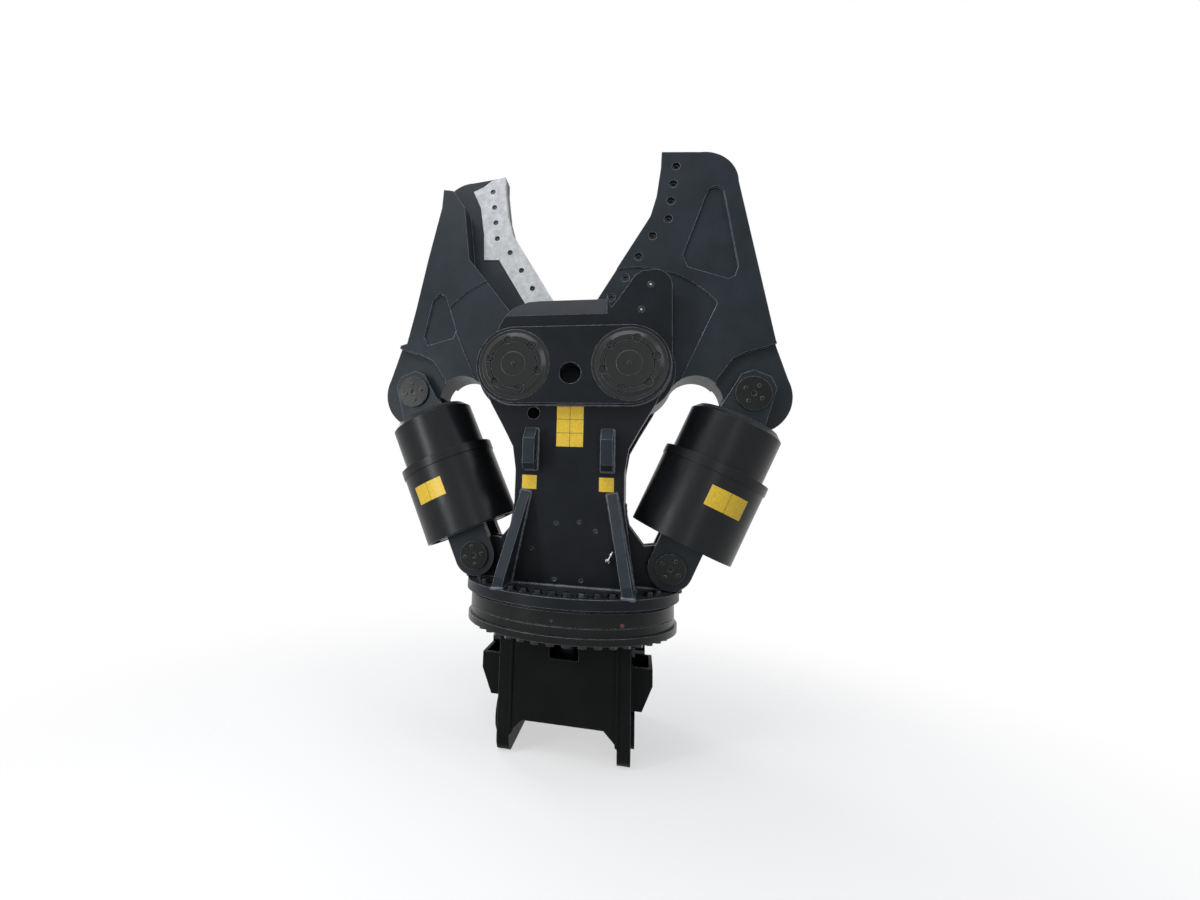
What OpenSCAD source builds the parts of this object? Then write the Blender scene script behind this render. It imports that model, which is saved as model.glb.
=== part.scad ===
// Rotating twin-jaw, twin-cylinder demolition shear for an excavator, standing on
// its pin-on bracket with both jaws up and fully open. Z is up, X runs from jaw to
// jaw and Y is the depth. The right jaw and its cylinder are drawn once, and the
// left ones are the same pieces turned half a turn about the slewing axis, so the
// two cutting plates pass each other on the plane y = 0.

/* [Mounting bracket] */
// Height of the fixed flange's underside above the bottoms of the side plates
mount_h = 464; // [420:2:520]
// Gap between the two side plates, which takes the excavator's stick
ear_gap = 396; // [360:2:420]
// Thickness of a side plate
ear_t = 48; // [40:1:52]
// How far the side plates reach in front of the slewing axis
ear_front = 200; // [185:5:230]
// How far the side plates reach behind the slewing axis
ear_rear = 424; // [412:1:426]
// Radius of the two bores for the excavator's pins
mount_pin_r = 45; // [35:0.5:50]
// Height of the two pin bores
mount_pin_z = 118; // [105:1:130]
// Distance from the slewing axis to the stick pin, towards the front
stick_pin_y = 98; // [85:1:110]
// Distance between the stick pin and the link pin
mount_pin_pitch = 430; // [400:5:440]
// Thickness of the bracket's front and rear panels
panel_t = 25; // [18:1:32]
// Height of the panels' lower edge
panel_z = 128; // [110:2:160]
// Width of the hose notch in the front panel
notch_w = 109; // [80:1:140]
// Height of the hose notch
notch_h = 107; // [80:1:120]

/* [Slewing ring] */
// Thickness of the fixed flange
fixed_flange_t = 25; // [20:1:32]
// How far the fixed flange stands out past the races
fixed_flange_lip = 10; // [4:1:16]
// Height of the slewing ring between the two flanges
race_h = 92; // [84:1:110]
// Outer radius of both races
race_r = 408; // [402:1:412]
// Width of the turning race, out from where the races run past each other
race_wall = 46; // [43:1:50]
// Height of the fixed race's outer step
race_step_h = 30; // [24:1:34]
// Radius of a bearing ball
ball_r = 16; // [12:0.5:17]
// Number of bearing balls
ball_count = 40; // [24:1:48]
// Tooth module of the internal gear and its pinion
gear_module = 8; // [7:0.5:8]
// Teeth of the internal gear
ring_teeth = 72; // [66:6:72]
// Teeth of the pinion
pinion_teeth = 12; // [11:1:12]
// How far the bolt circle lies inside the races' outer edge
bolt_inset = 26; // [24:1:28]
// Bolts in a full flange circle
flange_bolts = 44; // [36:4:44]
// Thickness of the slewing base flange
base_flange_t = 38; // [30:1:46]
// How far the slewing base flange stands out past the races
deck_lip = 19; // [14:1:30]
// Height of the shadow groove under the base flange
neck_h = 12; // [8:1:14]

/* [Frame] */
// Height of the jaw pivots above the base flange
pivot_rise = 865; // [850:5:900]
// Half the distance between the two jaw pivots
pivot_half = 230; // [228:1:236]
// Inner face of the frame plates, from the middle plane
frame_gap = 122; // [121:0.5:126]
// Thickness of the front and rear frame plates
frame_t = 60; // [50:1:66]
// Thickness of the hub plates welded on the frame plates
hub_plate_t = 45; // [36:1:50]
// Radius of the hub plate's ends round the pivots
hub_plate_r = 158; // [154:1:162]
// Radius of a main pivot pin
pivot_pin_r = 90; // [80:1:94]
// Half the width of the frame at its waist
waist_half = 215; // [210:1:222]
// Height of the frame's top above the pivots
head_rise = 298; // [280:2:306]
// Height of the guide horn above the pivots
horn_rise = 399; // [392:1:410]
// Thickness of a gusset rib
gusset_t = 38; // [30:1:44]
// Thickness of the side webs
web_t = 28; // [20:1:32]

/* [Jaw] */
// Distance from the pivot to the jaw's tip, straight up
jaw_reach = 958; // [930:2:990]
// Half the thickness of a jaw
jaw_half = 95; // [88:1:98]
// Half the width of the jaw's hub
jaw_hub_half = 118; // [116:0.5:119]
// Radius of the jaw's hub
jaw_hub_r = 180; // [170:1:182]
// Half the thickness of the jaw's cylinder lug
lug_half = 68; // [60:1:70]
// Radius of the jaw's cylinder lug
lug_r = 152; // [140:1:156]
// Gap between a cutting plate's inner face and the middle plane
plate_back = 6; // [5:0.5:8]
// Thickness of a cutting blade
blade_t = 32; // [28:1:36]
// Angle through which each jaw closes
jaw_swing = 28; // [26:1:28]

/* [Cylinder] */
// Cylinder pin in the jaw, across from the pivot
rod_pin_x = 466.5; // [460:0.5:470]
// Cylinder pin in the jaw, down from the pivot
rod_pin_drop = 99; // [95:1:105]
// Cylinder pin in the frame, across from the pivot
base_pin_x = 158; // [154:1:162]
// Cylinder pin in the frame, above the base flange
base_pin_rise = 87; // [87:1:95]
// Bore radius of the cylinder
bore_r = 95; // [88:1:98]
// Outer radius of the cylinder's tube
barrel_r = 118; // [112:1:122]
// Radius of the piston rod
rod_r = 60; // [50:1:64]
// Outer radius of the lower guard sleeve
lower_sleeve_r = 205; // [202:1:207]
// Outer radius of the upper guard sleeve
upper_sleeve_r = 182; // [178:1:184]
// Wall of both guard sleeves
sleeve_t = 12; // [8:1:12]
// Distance from the base pin to the lower sleeve's lower end
sleeve_foot = 108; // [104:1:112]
// Distance from the base pin to the lower sleeve's upper end
sleeve_top = 441; // [435:1:450]
// Distance from the rod pin down to the upper sleeve's cap
cap_to_eye = 98; // [96:1:104]
// Thickness of a fork ear
fork_t = 48; // [40:1:50]
// Radius of the upper fork's ears
upper_fork_r = 98; // [90:1:100]
// Radius of the lower fork's ears
lower_fork_r = 83; // [76:1:83]
// Radius of the rod pin
rod_pin_r = 55; // [45:1:57]
// Radius of the base pin
base_pin_r = 50; // [42:1:52]

/* [Hidden] */
$fn = 72;

// Clearances: running fit, fixed fit, gap between curved faces, and one overrun for cuts
run_fit = 0.06;
seat_fit = 0.05;
face_gap = 0.3;
cut = 5;
far = 3000;
half_turn = 180;
full_turn = 360;
right_angle = 90;

// Radii of the slewing ring from the races' outer edge inwards and outwards
fixed_flange_r = race_r + fixed_flange_lip;
base_flange_r = race_r + deck_lip;
race_split_r = race_r - race_wall;
flange_bolt_r = race_r - bolt_inset;

// Heights of the stack from the ground up
flange_z = mount_h + fixed_flange_t;
race_top_z = flange_z + race_h;
deck_z = race_top_z + base_flange_t;
pivot_z = deck_z + pivot_rise;
frame_face = frame_gap + frame_t;
hub_face = frame_face + hub_plate_t;

// Linkage: where the two cylinder pins lie and how the cylinder leans at rest
base_pin_z = deck_z + base_pin_rise;
rod_pin_z = pivot_z - rod_pin_drop;
link_dx = rod_pin_x - base_pin_x;
link_dz = rod_pin_z - base_pin_z;
link_len = sqrt(link_dx * link_dx + link_dz * link_dz);
lean = atan2(link_dx, link_dz);

// Cylinder forks outside the lugs, and the caps on their pins
fork_gap = 5;
fork_in = lug_half + fork_gap;
fork_out = fork_in + fork_t;
pin_cap_t = 13;

// Ribs: where they start on the frame plates and how far they lean outwards
gusset_top_x = 168;
gusset_top = -0.585 * pivot_rise;
gusset_reach = pivot_rise + gusset_top;
gusset_lean = 10.6;
gusset_out = 165;
gusset_nose = 34;

paint = "#23262b";
dark_paint = "#17191c";
raw_steel = "#a9abab";
bright_steel = "#8f9294";
bronze = "#9a7a45";

// Lays an outline drawn in X and Z flat between two depths
module xz(y_low, y_high) {
    translate([0, y_high, 0]) rotate([right_angle, 0, 0])
        linear_extrude(y_high - y_low) children();
}

// Lays an outline drawn in Y and Z flat between two places along X
module yz(x_low, x_high) {
    translate([x_low, 0, 0]) rotate([right_angle, 0, right_angle])
        linear_extrude(x_high - x_low) children();
}

// A round bar along Y between two depths
module y_bar(r, y_low, y_high) {
    translate([0, y_high, 0]) rotate([right_angle, 0, 0]) cylinder(r = r, h = y_high - y_low);
}

// A round bar along X between two places
module x_bar(r, x_low, x_high) {
    translate([x_low, 0, 0]) rotate([0, right_angle, 0]) cylinder(r = r, h = x_high - x_low);
}

// A ring standing on z_low
module ring(r_out, r_in, z_low, z_high) {
    translate([0, 0, z_low]) difference() {
        cylinder(r = r_out, h = z_high - z_low);
        translate([0, 0, -cut]) cylinder(r = r_in, h = z_high - z_low + 2 * cut);
    }
}

// The same pieces on the other side, turned about the slewing axis
module other_side() {
    rotate([0, 0, half_turn]) children();
}

module both_sides() {
    children();
    other_side() children();
}

function scaled(points, size) = [for (p = points) [p[0] * size, p[1] * size]];

// Mounting bracket: side plates, panels, fixed flange

ear_x = ear_gap / 2;
ear_corner_r = 60;
boss_wall = 26;
mount_boss_r = mount_pin_r + boss_wall;
mount_boss_t = 14;
ear_rise_z = 2 * mount_pin_z + mount_boss_t;
neck_margin = 14;
ear_neck_y = sqrt(pow(fixed_flange_r, 2) - pow(ear_x + ear_t, 2)) - neck_margin;

// Side plate from the side: a flat foot to stand on, with its rear corner cut away
module ear_profile() {
    difference() {
        polygon([[-ear_front, ear_corner_r], [-ear_front, mount_h], [ear_neck_y, mount_h],
            [ear_rear, ear_rise_z], [ear_rear, ear_corner_r], [ear_rear - ear_corner_r, 0],
            [ear_corner_r - ear_front, 0]]);
        for (y = [-stick_pin_y, mount_pin_pitch - stick_pin_y])
            translate([y, mount_pin_z]) circle(r = mount_pin_r);
    }
    difference() {
        for (y = [ear_corner_r - ear_front, ear_rear - ear_corner_r])
            translate([y, ear_corner_r]) circle(r = ear_corner_r);
        translate([-stick_pin_y, mount_pin_z]) circle(r = mount_pin_r);
        translate([mount_pin_pitch - stick_pin_y, mount_pin_z]) circle(r = mount_pin_r);
    }
}

// One side plate with the welded rings that thicken it round its two bores
module mount_ear() {
    yz(ear_x, ear_x + ear_t) ear_profile();
    for (y = [-stick_pin_y, mount_pin_pitch - stick_pin_y])
        translate([0, y, mount_pin_z]) difference() {
            x_bar(mount_boss_r, ear_x + ear_t, ear_x + ear_t + mount_boss_t);
            x_bar(mount_pin_r, ear_x, ear_x + ear_t + mount_boss_t + cut);
        }
}

module mount_ear_right() {
    color(paint) mount_ear();
}

module mount_ear_left() {
    color(paint) mirror([1, 0, 0]) mount_ear();
}

module mount_front_panel() {
    fillet = ear_t;
    color(paint) xz(-ear_front, panel_t - ear_front) difference() {
        translate([-ear_x, panel_z]) square([ear_gap, mount_h - panel_z]);
        translate([-notch_w / 2, mount_h - notch_h]) square([notch_w, notch_h + cut]);
    }
    color(paint) xz(-ear_front, panel_t - ear_front) for (s = [-1, 1])
        polygon([[s * ear_x, panel_z - fillet], [s * ear_x, panel_z],
            [s * (ear_x - fillet), panel_z]]);
}

rear_panel_y = ear_neck_y - panel_t;

module mount_rear_panel() {
    color(paint) xz(rear_panel_y, rear_panel_y + panel_t)
        translate([-ear_x, ear_rise_z]) square([ear_gap, mount_h - ear_rise_z]);
}

core_r = 60;
core_flange_r = 130;
core_flange_t = 20;
deck_hole_r = core_r + core_flange_t;

module mount_flange() {
    color(paint) difference() {
        translate([0, 0, mount_h]) cylinder(r = fixed_flange_r, h = fixed_flange_t);
        translate([0, 0, mount_h - cut]) cylinder(r = core_r + face_gap, h = fixed_flange_t + 2 * cut);
        bolt_places(fixed_bolt_angles) translate([0, 0, mount_h - cut])
            cylinder(r = flange_bolt_shank_r + seat_fit, h = fixed_flange_t + 2 * cut);
    }
}

flange_bolt_shank_r = 12;
flange_head_r = 18;
flange_head_h = 15;
flange_bolt_grip = 20;
bolt_step = full_turn / flange_bolts;
all_bolt_angles = [for (k = [0:flange_bolts - 1]) (k + 1 / 2) * bolt_step];
head_gap = 4;
head_room = flange_head_r + head_gap;

// Bolts are left out where a side plate or the deck's plates and ribs stand
fixed_bolt_angles = [for (a = all_bolt_angles) let (x = abs(flange_bolt_r * cos(a)),
    y = flange_bolt_r * sin(a)) if (x > ear_x + ear_t + head_room || x < ear_x - head_room
    || y < -ear_front - head_room) a];
rib_low_x = gusset_top_x + gusset_reach * tan(gusset_lean) - gusset_t;
rib_high_x = rib_low_x + 2 * gusset_t + head_room;
foot_room_x = pivot_half + base_pin_x - lower_fork_r - head_room;
foot_room_y = fork_out + pin_cap_t + head_room;
deck_bolt_angles = [for (a = all_bolt_angles) let (x = abs(flange_bolt_r * cos(a)),
    y = abs(flange_bolt_r * sin(a))) if ((y > foot_room_y || x < foot_room_x)
    && (x < rib_low_x - head_room / 2 || x > rib_high_x)) a];

module bolt_places(angles) {
    for (a = angles) rotate([0, 0, a]) translate([flange_bolt_r, 0, 0]) children();
}

// Hexagon bolts pushed up from below through the fixed flange into the fixed race
module mount_flange_bolts() {
    color(dark_paint) bolt_places(fixed_bolt_angles) {
        translate([0, 0, mount_h - flange_head_h]) cylinder(r = flange_head_r, h = flange_head_h, $fn = 6);
        translate([0, 0, mount_h]) cylinder(r = flange_bolt_shank_r, h = fixed_flange_t);
    }
}

// Slewing ring: fixed race with the internal gear, balls, turning race

mid_race_z = flange_z + race_h / 2 + race_step_h / 4;
track_r = ball_r + face_gap;
race_run = 2;
neck_inset = 10;
gear_pitch_r = gear_module * ring_teeth / 2;
pinion_pitch_r = gear_module * pinion_teeth / 2;
gear_centre = gear_pitch_r - pinion_pitch_r;
add_share = 0.8;
ded_share = 1.1;
backlash = 1.2;
// Half the tooth at its root, pitch circle and tip, as shares of the tooth pitch
tooth_root_share = 0.34;
tooth_mid_share = 0.245;
tooth_tip_share = 0.15;

// A tooth of the internal gear points inwards, and its flanks lean like an involute's
module ring_gap_teeth() {
    for (k = [0:ring_teeth - 1]) rotate(k * full_turn / ring_teeth) polygon([
        [gear_pitch_r + ded_share * gear_module, tooth_half(tooth_root_share)],
        [gear_pitch_r + ded_share * gear_module, -tooth_half(tooth_root_share)],
        [gear_pitch_r, -tooth_half(tooth_mid_share)],
        [gear_pitch_r - add_share * gear_module, -tooth_half(tooth_tip_share)],
        [gear_pitch_r - add_share * gear_module, tooth_half(tooth_tip_share)],
        [gear_pitch_r, tooth_half(tooth_mid_share)]]);
}

function tooth_half(share) = share * gear_module * PI - backlash / 2;

module inner_race() {
    rim_r = gear_pitch_r + ded_share * gear_module;
    color(bright_steel) difference() {
        union() {
            ring(race_split_r - face_gap / 2, rim_r, flange_z, race_top_z - 2 * race_run);
            ring(race_r, race_split_r - ball_r, flange_z, flange_z + race_step_h);
        }
        translate([0, 0, mid_race_z]) rotate_extrude() translate([race_split_r, 0]) circle(r = track_r);
        bolt_places(fixed_bolt_angles) translate([0, 0, flange_z - cut])
            cylinder(r = flange_bolt_shank_r + seat_fit, h = race_step_h - cut);
    }
    color(bright_steel) translate([0, 0, flange_z]) linear_extrude(race_h - 2 * race_run) difference() {
        union() {
            ring_gap_teeth();
            difference() {
                circle(r = rim_r + gear_module);
                circle(r = rim_r - face_gap);
            }
        }
        difference() {
            circle(r = race_r);
            circle(r = rim_r + gear_module / 2);
        }
    }
}

module outer_race() {
    color(bright_steel) difference() {
        union() {
            ring(race_r, race_split_r + face_gap / 2, flange_z + race_step_h + race_run, race_top_z - neck_h);
            ring(race_r - neck_inset, race_split_r + face_gap / 2, race_top_z - neck_h - cut, race_top_z);
        }
        translate([0, 0, mid_race_z]) rotate_extrude() translate([race_split_r, 0]) circle(r = track_r);
        bolt_places(deck_bolt_angles) translate([0, 0, race_top_z - flange_bolt_grip])
            cylinder(r = flange_bolt_shank_r + seat_fit, h = flange_bolt_grip + cut);
    }
}

module slew_balls() {
    color("silver") for (k = [0:ball_count - 1]) rotate([0, 0, k * full_turn / ball_count])
        translate([race_split_r, 0, mid_race_z]) sphere(r = ball_r, $fn = 24);
}

pinion_face = 60;
pinion_z = flange_z + 2 * gear_module;
shaft_r = 20;
shaft_rise = 70;

module slew_pinion() {
    color(bright_steel) translate([0, gear_centre, pinion_z]) {
        rotate([0, 0, right_angle + pinion_phase]) linear_extrude(pinion_face) {
            circle(r = pinion_pitch_r - ded_share * gear_module);
            for (k = [0:pinion_teeth - 1]) rotate(k * full_turn / pinion_teeth) polygon([
                [pinion_pitch_r - (ded_share + 1) * gear_module, -tooth_half(tooth_root_share)],
                [pinion_pitch_r - ded_share * gear_module, -tooth_half(tooth_root_share)],
                [pinion_pitch_r, -tooth_half(tooth_mid_share)],
                [pinion_pitch_r + add_share * gear_module, -tooth_half(tooth_tip_share)],
                [pinion_pitch_r + add_share * gear_module, tooth_half(tooth_tip_share)],
                [pinion_pitch_r, tooth_half(tooth_mid_share)],
                [pinion_pitch_r - ded_share * gear_module, tooth_half(tooth_root_share)],
                [pinion_pitch_r - (ded_share + 1) * gear_module, tooth_half(tooth_root_share)]]);
        }
        cylinder(r = shaft_r, h = deck_z + shaft_rise - pinion_z);
    }
}

// The pinion stands with a tooth gap where a tooth of the internal gear points
pinion_phase = full_turn / pinion_teeth / 2;

// Hydraulic swivel: the core is bolted under the fixed flange, its housing turns

swivel_h = 240;
housing_r = 95;
housing_flange_r = 118;
housing_flange_t = 18;
port_drop = 75;
port_z = mount_h - port_drop;
port_r = 22;

module swivel_core() {
    color(bright_steel) {
        translate([0, 0, mount_h - core_flange_t]) cylinder(r = core_flange_r, h = core_flange_t);
        translate([0, 0, mount_h - 2 * core_flange_t - port_z / 4])
            cylinder(r = core_flange_r - core_flange_t, h = core_flange_t + port_z / 4);
        translate([0, 0, mount_h]) cylinder(r = core_r, h = deck_z + swivel_h - housing_flange_t - mount_h);
    }
}

module swivel_housing() {
    color(dark_paint) difference() {
        union() {
            translate([0, 0, deck_z]) cylinder(r = housing_flange_r, h = housing_flange_t);
            translate([0, 0, deck_z]) cylinder(r = housing_r, h = swivel_h);
        }
        translate([0, 0, deck_z - cut]) cylinder(r = core_r + run_fit, h = swivel_h - housing_flange_t + cut);
    }
}

// Guards and fittings of the side ports, on the outside of the two side plates

guard_out = 78;
guard_t = 14;
guard_low_z = 192;
guard_knee_z = 285;
guard_high_z = 345;
guard_front_y = -150;
guard_depth = 200;

module port_guard() {
    x0 = ear_x + ear_t;
    outline = [[x0, guard_low_z], [x0 + guard_out / 2, guard_low_z], [x0 + guard_out, guard_knee_z],
        [x0 + guard_out, guard_high_z], [x0, guard_high_z]];
    inner = [[x0 - cut, guard_low_z + guard_t], [x0 + guard_out / 2 - guard_t, guard_low_z + guard_t],
        [x0 + guard_out - guard_t, guard_knee_z], [x0 + guard_out - guard_t, guard_high_z + cut],
        [x0 - cut, guard_high_z + cut]];
    difference() {
        xz(guard_front_y, guard_front_y + guard_depth) polygon(outline);
        xz(guard_front_y + guard_t, guard_front_y + guard_depth - guard_t) polygon(inner);
    }
}

module port_guards() {
    color(paint) {
        port_guard();
        mirror([1, 0, 0]) port_guard();
    }
}

module port_fittings() {
    nut_r = port_r * 1.6;
    color(bright_steel) for (s = [0, 1], k = [0, 1]) mirror([s, 0, 0])
        translate([0, guard_front_y + guard_depth / 3 * (1 + k), port_z]) {
            x_bar(port_r, ear_x + ear_t, ear_x + ear_t + guard_out - 2 * guard_t);
            translate([ear_x + ear_t, 0, 0]) rotate([0, right_angle, 0]) cylinder(r = nut_r, h = guard_t, $fn = 6);
        }
}

// Base flange, which the frame is welded to

module base_flange() {
    color(paint) difference() {
        translate([0, 0, race_top_z]) cylinder(r = base_flange_r, h = base_flange_t);
        translate([0, 0, race_top_z - cut]) cylinder(r = deck_hole_r, h = base_flange_t + 2 * cut);
        translate([0, gear_centre, race_top_z - cut]) cylinder(r = shaft_r + face_gap, h = base_flange_t + 2 * cut);
        bolt_places(deck_bolt_angles) translate([0, 0, race_top_z - cut])
            cylinder(r = flange_bolt_shank_r + seat_fit, h = base_flange_t + 2 * cut);
    }
}

// Hexagon bolts from above through the base flange into the turning race
module base_flange_bolts() {
    color(dark_paint) bolt_places(deck_bolt_angles) {
        translate([0, 0, deck_z]) cylinder(r = flange_head_r, h = flange_head_h, $fn = 6);
        translate([0, 0, race_top_z - flange_bolt_grip])
            cylinder(r = flange_bolt_shank_r, h = base_flange_t + flange_bolt_grip);
    }
}

// Frame plates: drawn from the front, with zero height at the pivots

hub_margin = 6;
head_corner_r = hub_plate_r + hub_margin;
horn_out = pivot_half + hub_plate_r + hub_margin;
horn_tip_r = 72;
waist_top = -0.49 * pivot_rise;
waist_low = -0.635 * pivot_rise;
foot_out = 45;
foot_half = waist_half + foot_out;
bevel_h = 80;
bevel_land = 4;
centre_hole_r = 43;
centre_hole_drop = 36;
small_hole_r = 25;
small_hole = [-0.65 * pivot_half, -0.84 * pivot_half];

// Edge of the waist, then the shoulder over the pivot without a horn and the horn's
// inner edge, as shares of the pivots' spacing and of the rise of each
waist_edge_shares = [[1.55, -0.110], [1.43, -0.180], [1.18, -0.294], [1.0, -0.382]];
shoulder_shares = [[1.43, 0.423], [1.32, 0.624], [1.12, 0.88], [0.86, 0.987], [0.65, 1]];
horn_shares = [[0.60, 0.555], [0.79, 0.695], [1.08, 0.945], [1.21, 0.99], [1.38, 0.995]];

module waist_outline() {
    edge = [for (p = waist_edge_shares) [p[0] * pivot_half, p[1] * pivot_rise]];
    polygon(concat([[-pivot_half, 0]],
        [for (p = shoulder_shares) [-p[0] * pivot_half, p[1] * head_rise]],
        [[horn_shares[0][0] * pivot_half, head_rise], [pivot_half, 0]], edge,
        [[waist_half, waist_top], [waist_half, waist_low], [foot_half, 0 - pivot_rise],
         [-foot_half, 0 - pivot_rise], [-waist_half, waist_low], [-waist_half, waist_top]],
        [for (k = [len(edge) - 1:-1:0]) [-edge[k][0], edge[k][1]]]));
}

// The horn that guides the jaw, above one pivot
module horn_outline() {
    polygon(concat([[horn_shares[0][0] * pivot_half, 0]],
        [for (p = horn_shares) [p[0] * pivot_half, p[1] * horn_rise]],
        [[horn_out - horn_tip_r, horn_rise - horn_tip_r], [horn_out, horn_rise - horn_tip_r], [horn_out, 0]]));
}

module frame_holes() {
    for (s = [-1, 1]) translate([s * pivot_half, 0]) circle(r = pivot_pin_r + seat_fit);
    translate([0, -centre_hole_drop]) circle(r = centre_hole_r);
    translate(small_hole) circle(r = small_hole_r);
    for (p = guide_places) translate(p) circle(r = guide_plug_r + seat_fit);
}

guide_plug_r = 13;
guide_pad_r = 34;
guide_places = [[1.35 * pivot_half, 0.84 * horn_rise], [1.19 * pivot_half, 0.58 * horn_rise]];

module frame_plate() {
    translate([0, 0, pivot_z]) difference() {
        union() {
            for (s = [-1, 1]) translate([s * pivot_half, 0, 0]) y_bar(head_corner_r, -frame_face, -frame_gap);
            xz(-frame_face, -frame_gap) waist_outline();
            xz(-frame_face, -frame_gap) horn_outline();
            translate([horn_out - horn_tip_r, 0, horn_rise - horn_tip_r])
                y_bar(horn_tip_r, -frame_face, -frame_gap);
        }
        xz(-frame_face - cut, cut - frame_gap) frame_holes();
        translate([-far, -frame_face, head_rise - bevel_h])
            rotate([atan2(bevel_h, frame_t - bevel_land), 0, 0])
                cube([far + horn_shares[0][0] * pivot_half, far, far]);
    }
}

module front_plate() {
    color(paint) frame_plate();
}

module rear_plate() {
    color(paint) other_side() frame_plate();
}

// Retaining ring: flat rim, slanting band and raised inner band, all let into a seat
retainer_r = 146;
retainer_band_r = 132;
retainer_top_r = 115;
retainer_in_r = 97;
retainer_seat = 8;
retainer_rim = 2;
retainer_rise = 14;
pin_head_gap = 3;
pin_head_rise = 13;
retainer_bolt_r = 105;
retainer_head_r = 14;
retainer_head_h = 12;
retainer_notch_r = 17;
retainer_notches = 6;
notch_step = full_turn / retainer_notches;
// The rings stand turned by these angles on the two pivots, seen from the front
retainer_turn = [14, 45];

module hub_plate() {
    translate([0, 0, pivot_z]) difference() {
        xz(-hub_face, -frame_face) difference() {
            union() {
                for (s = [-1, 1]) translate([s * pivot_half, 0]) circle(r = hub_plate_r);
                translate([-pivot_half, -hub_plate_r]) square([2 * pivot_half, 2 * hub_plate_r]);
            }
            for (s = [-1, 1]) translate([s * pivot_half, 0]) circle(r = pivot_pin_r + seat_fit);
            translate([0, -centre_hole_drop]) circle(r = centre_hole_r);
        }
        for (s = [-1, 1]) translate([s * pivot_half, 0, 0])
            y_bar(retainer_r + face_gap, -hub_face - cut, retainer_seat - hub_face);
    }
}

module front_hub_plate() {
    color(paint) hub_plate();
}

module rear_hub_plate() {
    color(paint) other_side() hub_plate();
}

// Places round a pivot's end, seen from the front: all six notches or every second one
module round_end(turn, every) {
    for (k = [0:every:retainer_notches - 1]) rotate([0, -turn - k * notch_step, 0])
        translate([retainer_bolt_r, -hub_face, 0]) children();
}

// Main pivot pin, with a raised ring and a grease nipple on both end faces
module pivot_pin(turns) {
    step_r = 50;
    step_h = 3;
    nipple_r = 7;
    nipple_h = 14;
    pin_end = hub_face + pin_head_rise;
    translate([0, 0, pivot_z]) difference() {
        union() {
            y_bar(pivot_pin_r, -hub_face, hub_face);
            for (s = [0, half_turn]) rotate([0, 0, s]) {
                y_bar(retainer_in_r - pin_head_gap, -pin_end, -hub_face);
                y_bar(step_r, -pin_end - step_h, -pin_end);
                y_bar(nipple_r, -pin_end - nipple_h, -pin_end);
            }
        }
        for (k = [0, 1]) rotate([0, 0, k * half_turn]) round_end(turns[k], 1)
            y_bar(retainer_notch_r, -far, -retainer_rim);
    }
}

module pivot_pin_right() {
    color(dark_paint) translate([pivot_half, 0, 0]) pivot_pin([retainer_turn[0], retainer_turn[1]]);
}

module pivot_pin_left() {
    color(dark_paint) translate([-pivot_half, 0, 0]) pivot_pin([retainer_turn[1], retainer_turn[0]]);
}

module at_pivot_ends() {
    both_sides() for (k = [0, 1]) translate([(1 - 2 * k) * pivot_half, 0, pivot_z]) {
        $turn = retainer_turn[k];
        children();
    }
}

// Ring that holds a pivot pin, with six round notches of which three take bolts
module pin_retainer() {
    difference() {
        translate([0, -hub_face, 0]) rotate([right_angle, 0, 0]) rotate_extrude() polygon([
            [retainer_in_r, -retainer_seat], [retainer_r, -retainer_seat], [retainer_r, retainer_rim],
            [retainer_band_r, retainer_rim], [retainer_top_r, retainer_rise], [retainer_in_r, retainer_rise]]);
        round_end($turn, 1) y_bar(retainer_notch_r, -far, -retainer_rim);
        round_end($turn, 2) y_bar(retainer_head_r / 2 + seat_fit, -retainer_rim - cut, far / 2);
    }
}

module pin_retainers() {
    color(paint) at_pivot_ends() pin_retainer();
}

module retainer_bolts() {
    color(dark_paint) at_pivot_ends() round_end($turn, 2) difference() {
        union() {
            y_bar(retainer_head_r, -retainer_rim - retainer_head_h, -retainer_rim);
            y_bar(retainer_head_r / 2, -retainer_rim, retainer_seat);
        }
        y_bar(retainer_head_r / 2, -far, -retainer_rim - retainer_head_h / 2);
    }
}

// Block that ties the two frame plates together between the jaw hubs
block_half = 40;
block_top = 72;
block_low = -150;

module head_block() {
    color(paint) translate([-block_half, -frame_gap, pivot_z + block_low])
        cube([2 * block_half, 2 * frame_gap, block_top - block_low]);
}

web_top = -0.30 * pivot_rise;

module side_webs() {
    color(paint) both_sides() translate([waist_half - web_t, -frame_gap, deck_z])
        cube([web_t, 2 * frame_gap, pivot_rise + web_top]);
}

// Gusset ribs run from the frame plates down and outwards to the edge of the deck
module gusset() {
    intersection() {
        translate([gusset_top_x, 0, pivot_z + gusset_top]) rotate([0, -gusset_lean, 0]) mirror([0, 0, 1])
            yz(-gusset_t / 2, gusset_t / 2) polygon([[-frame_face, 0], [-frame_face - gusset_nose / 2, 0],
                [-frame_face - gusset_out, gusset_reach - gusset_nose],
                [-frame_face - gusset_out, gusset_reach + 2 * gusset_nose],
                [-frame_face, gusset_reach + 2 * gusset_nose]]);
        translate([0, -far / 2, deck_z]) cube([far, far, far]);
    }
}

module gussets() {
    color(paint) both_sides() {
        gusset();
        mirror([1, 0, 0]) gusset();
    }
}

// Lug plates for the cylinders' base pins, two on each side

lug_t = 38;
bush_t = 10;
base_pin_abs = pivot_half + base_pin_x;
lug_margin = 6;
lug_round_r = lower_fork_r + lug_margin;

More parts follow.
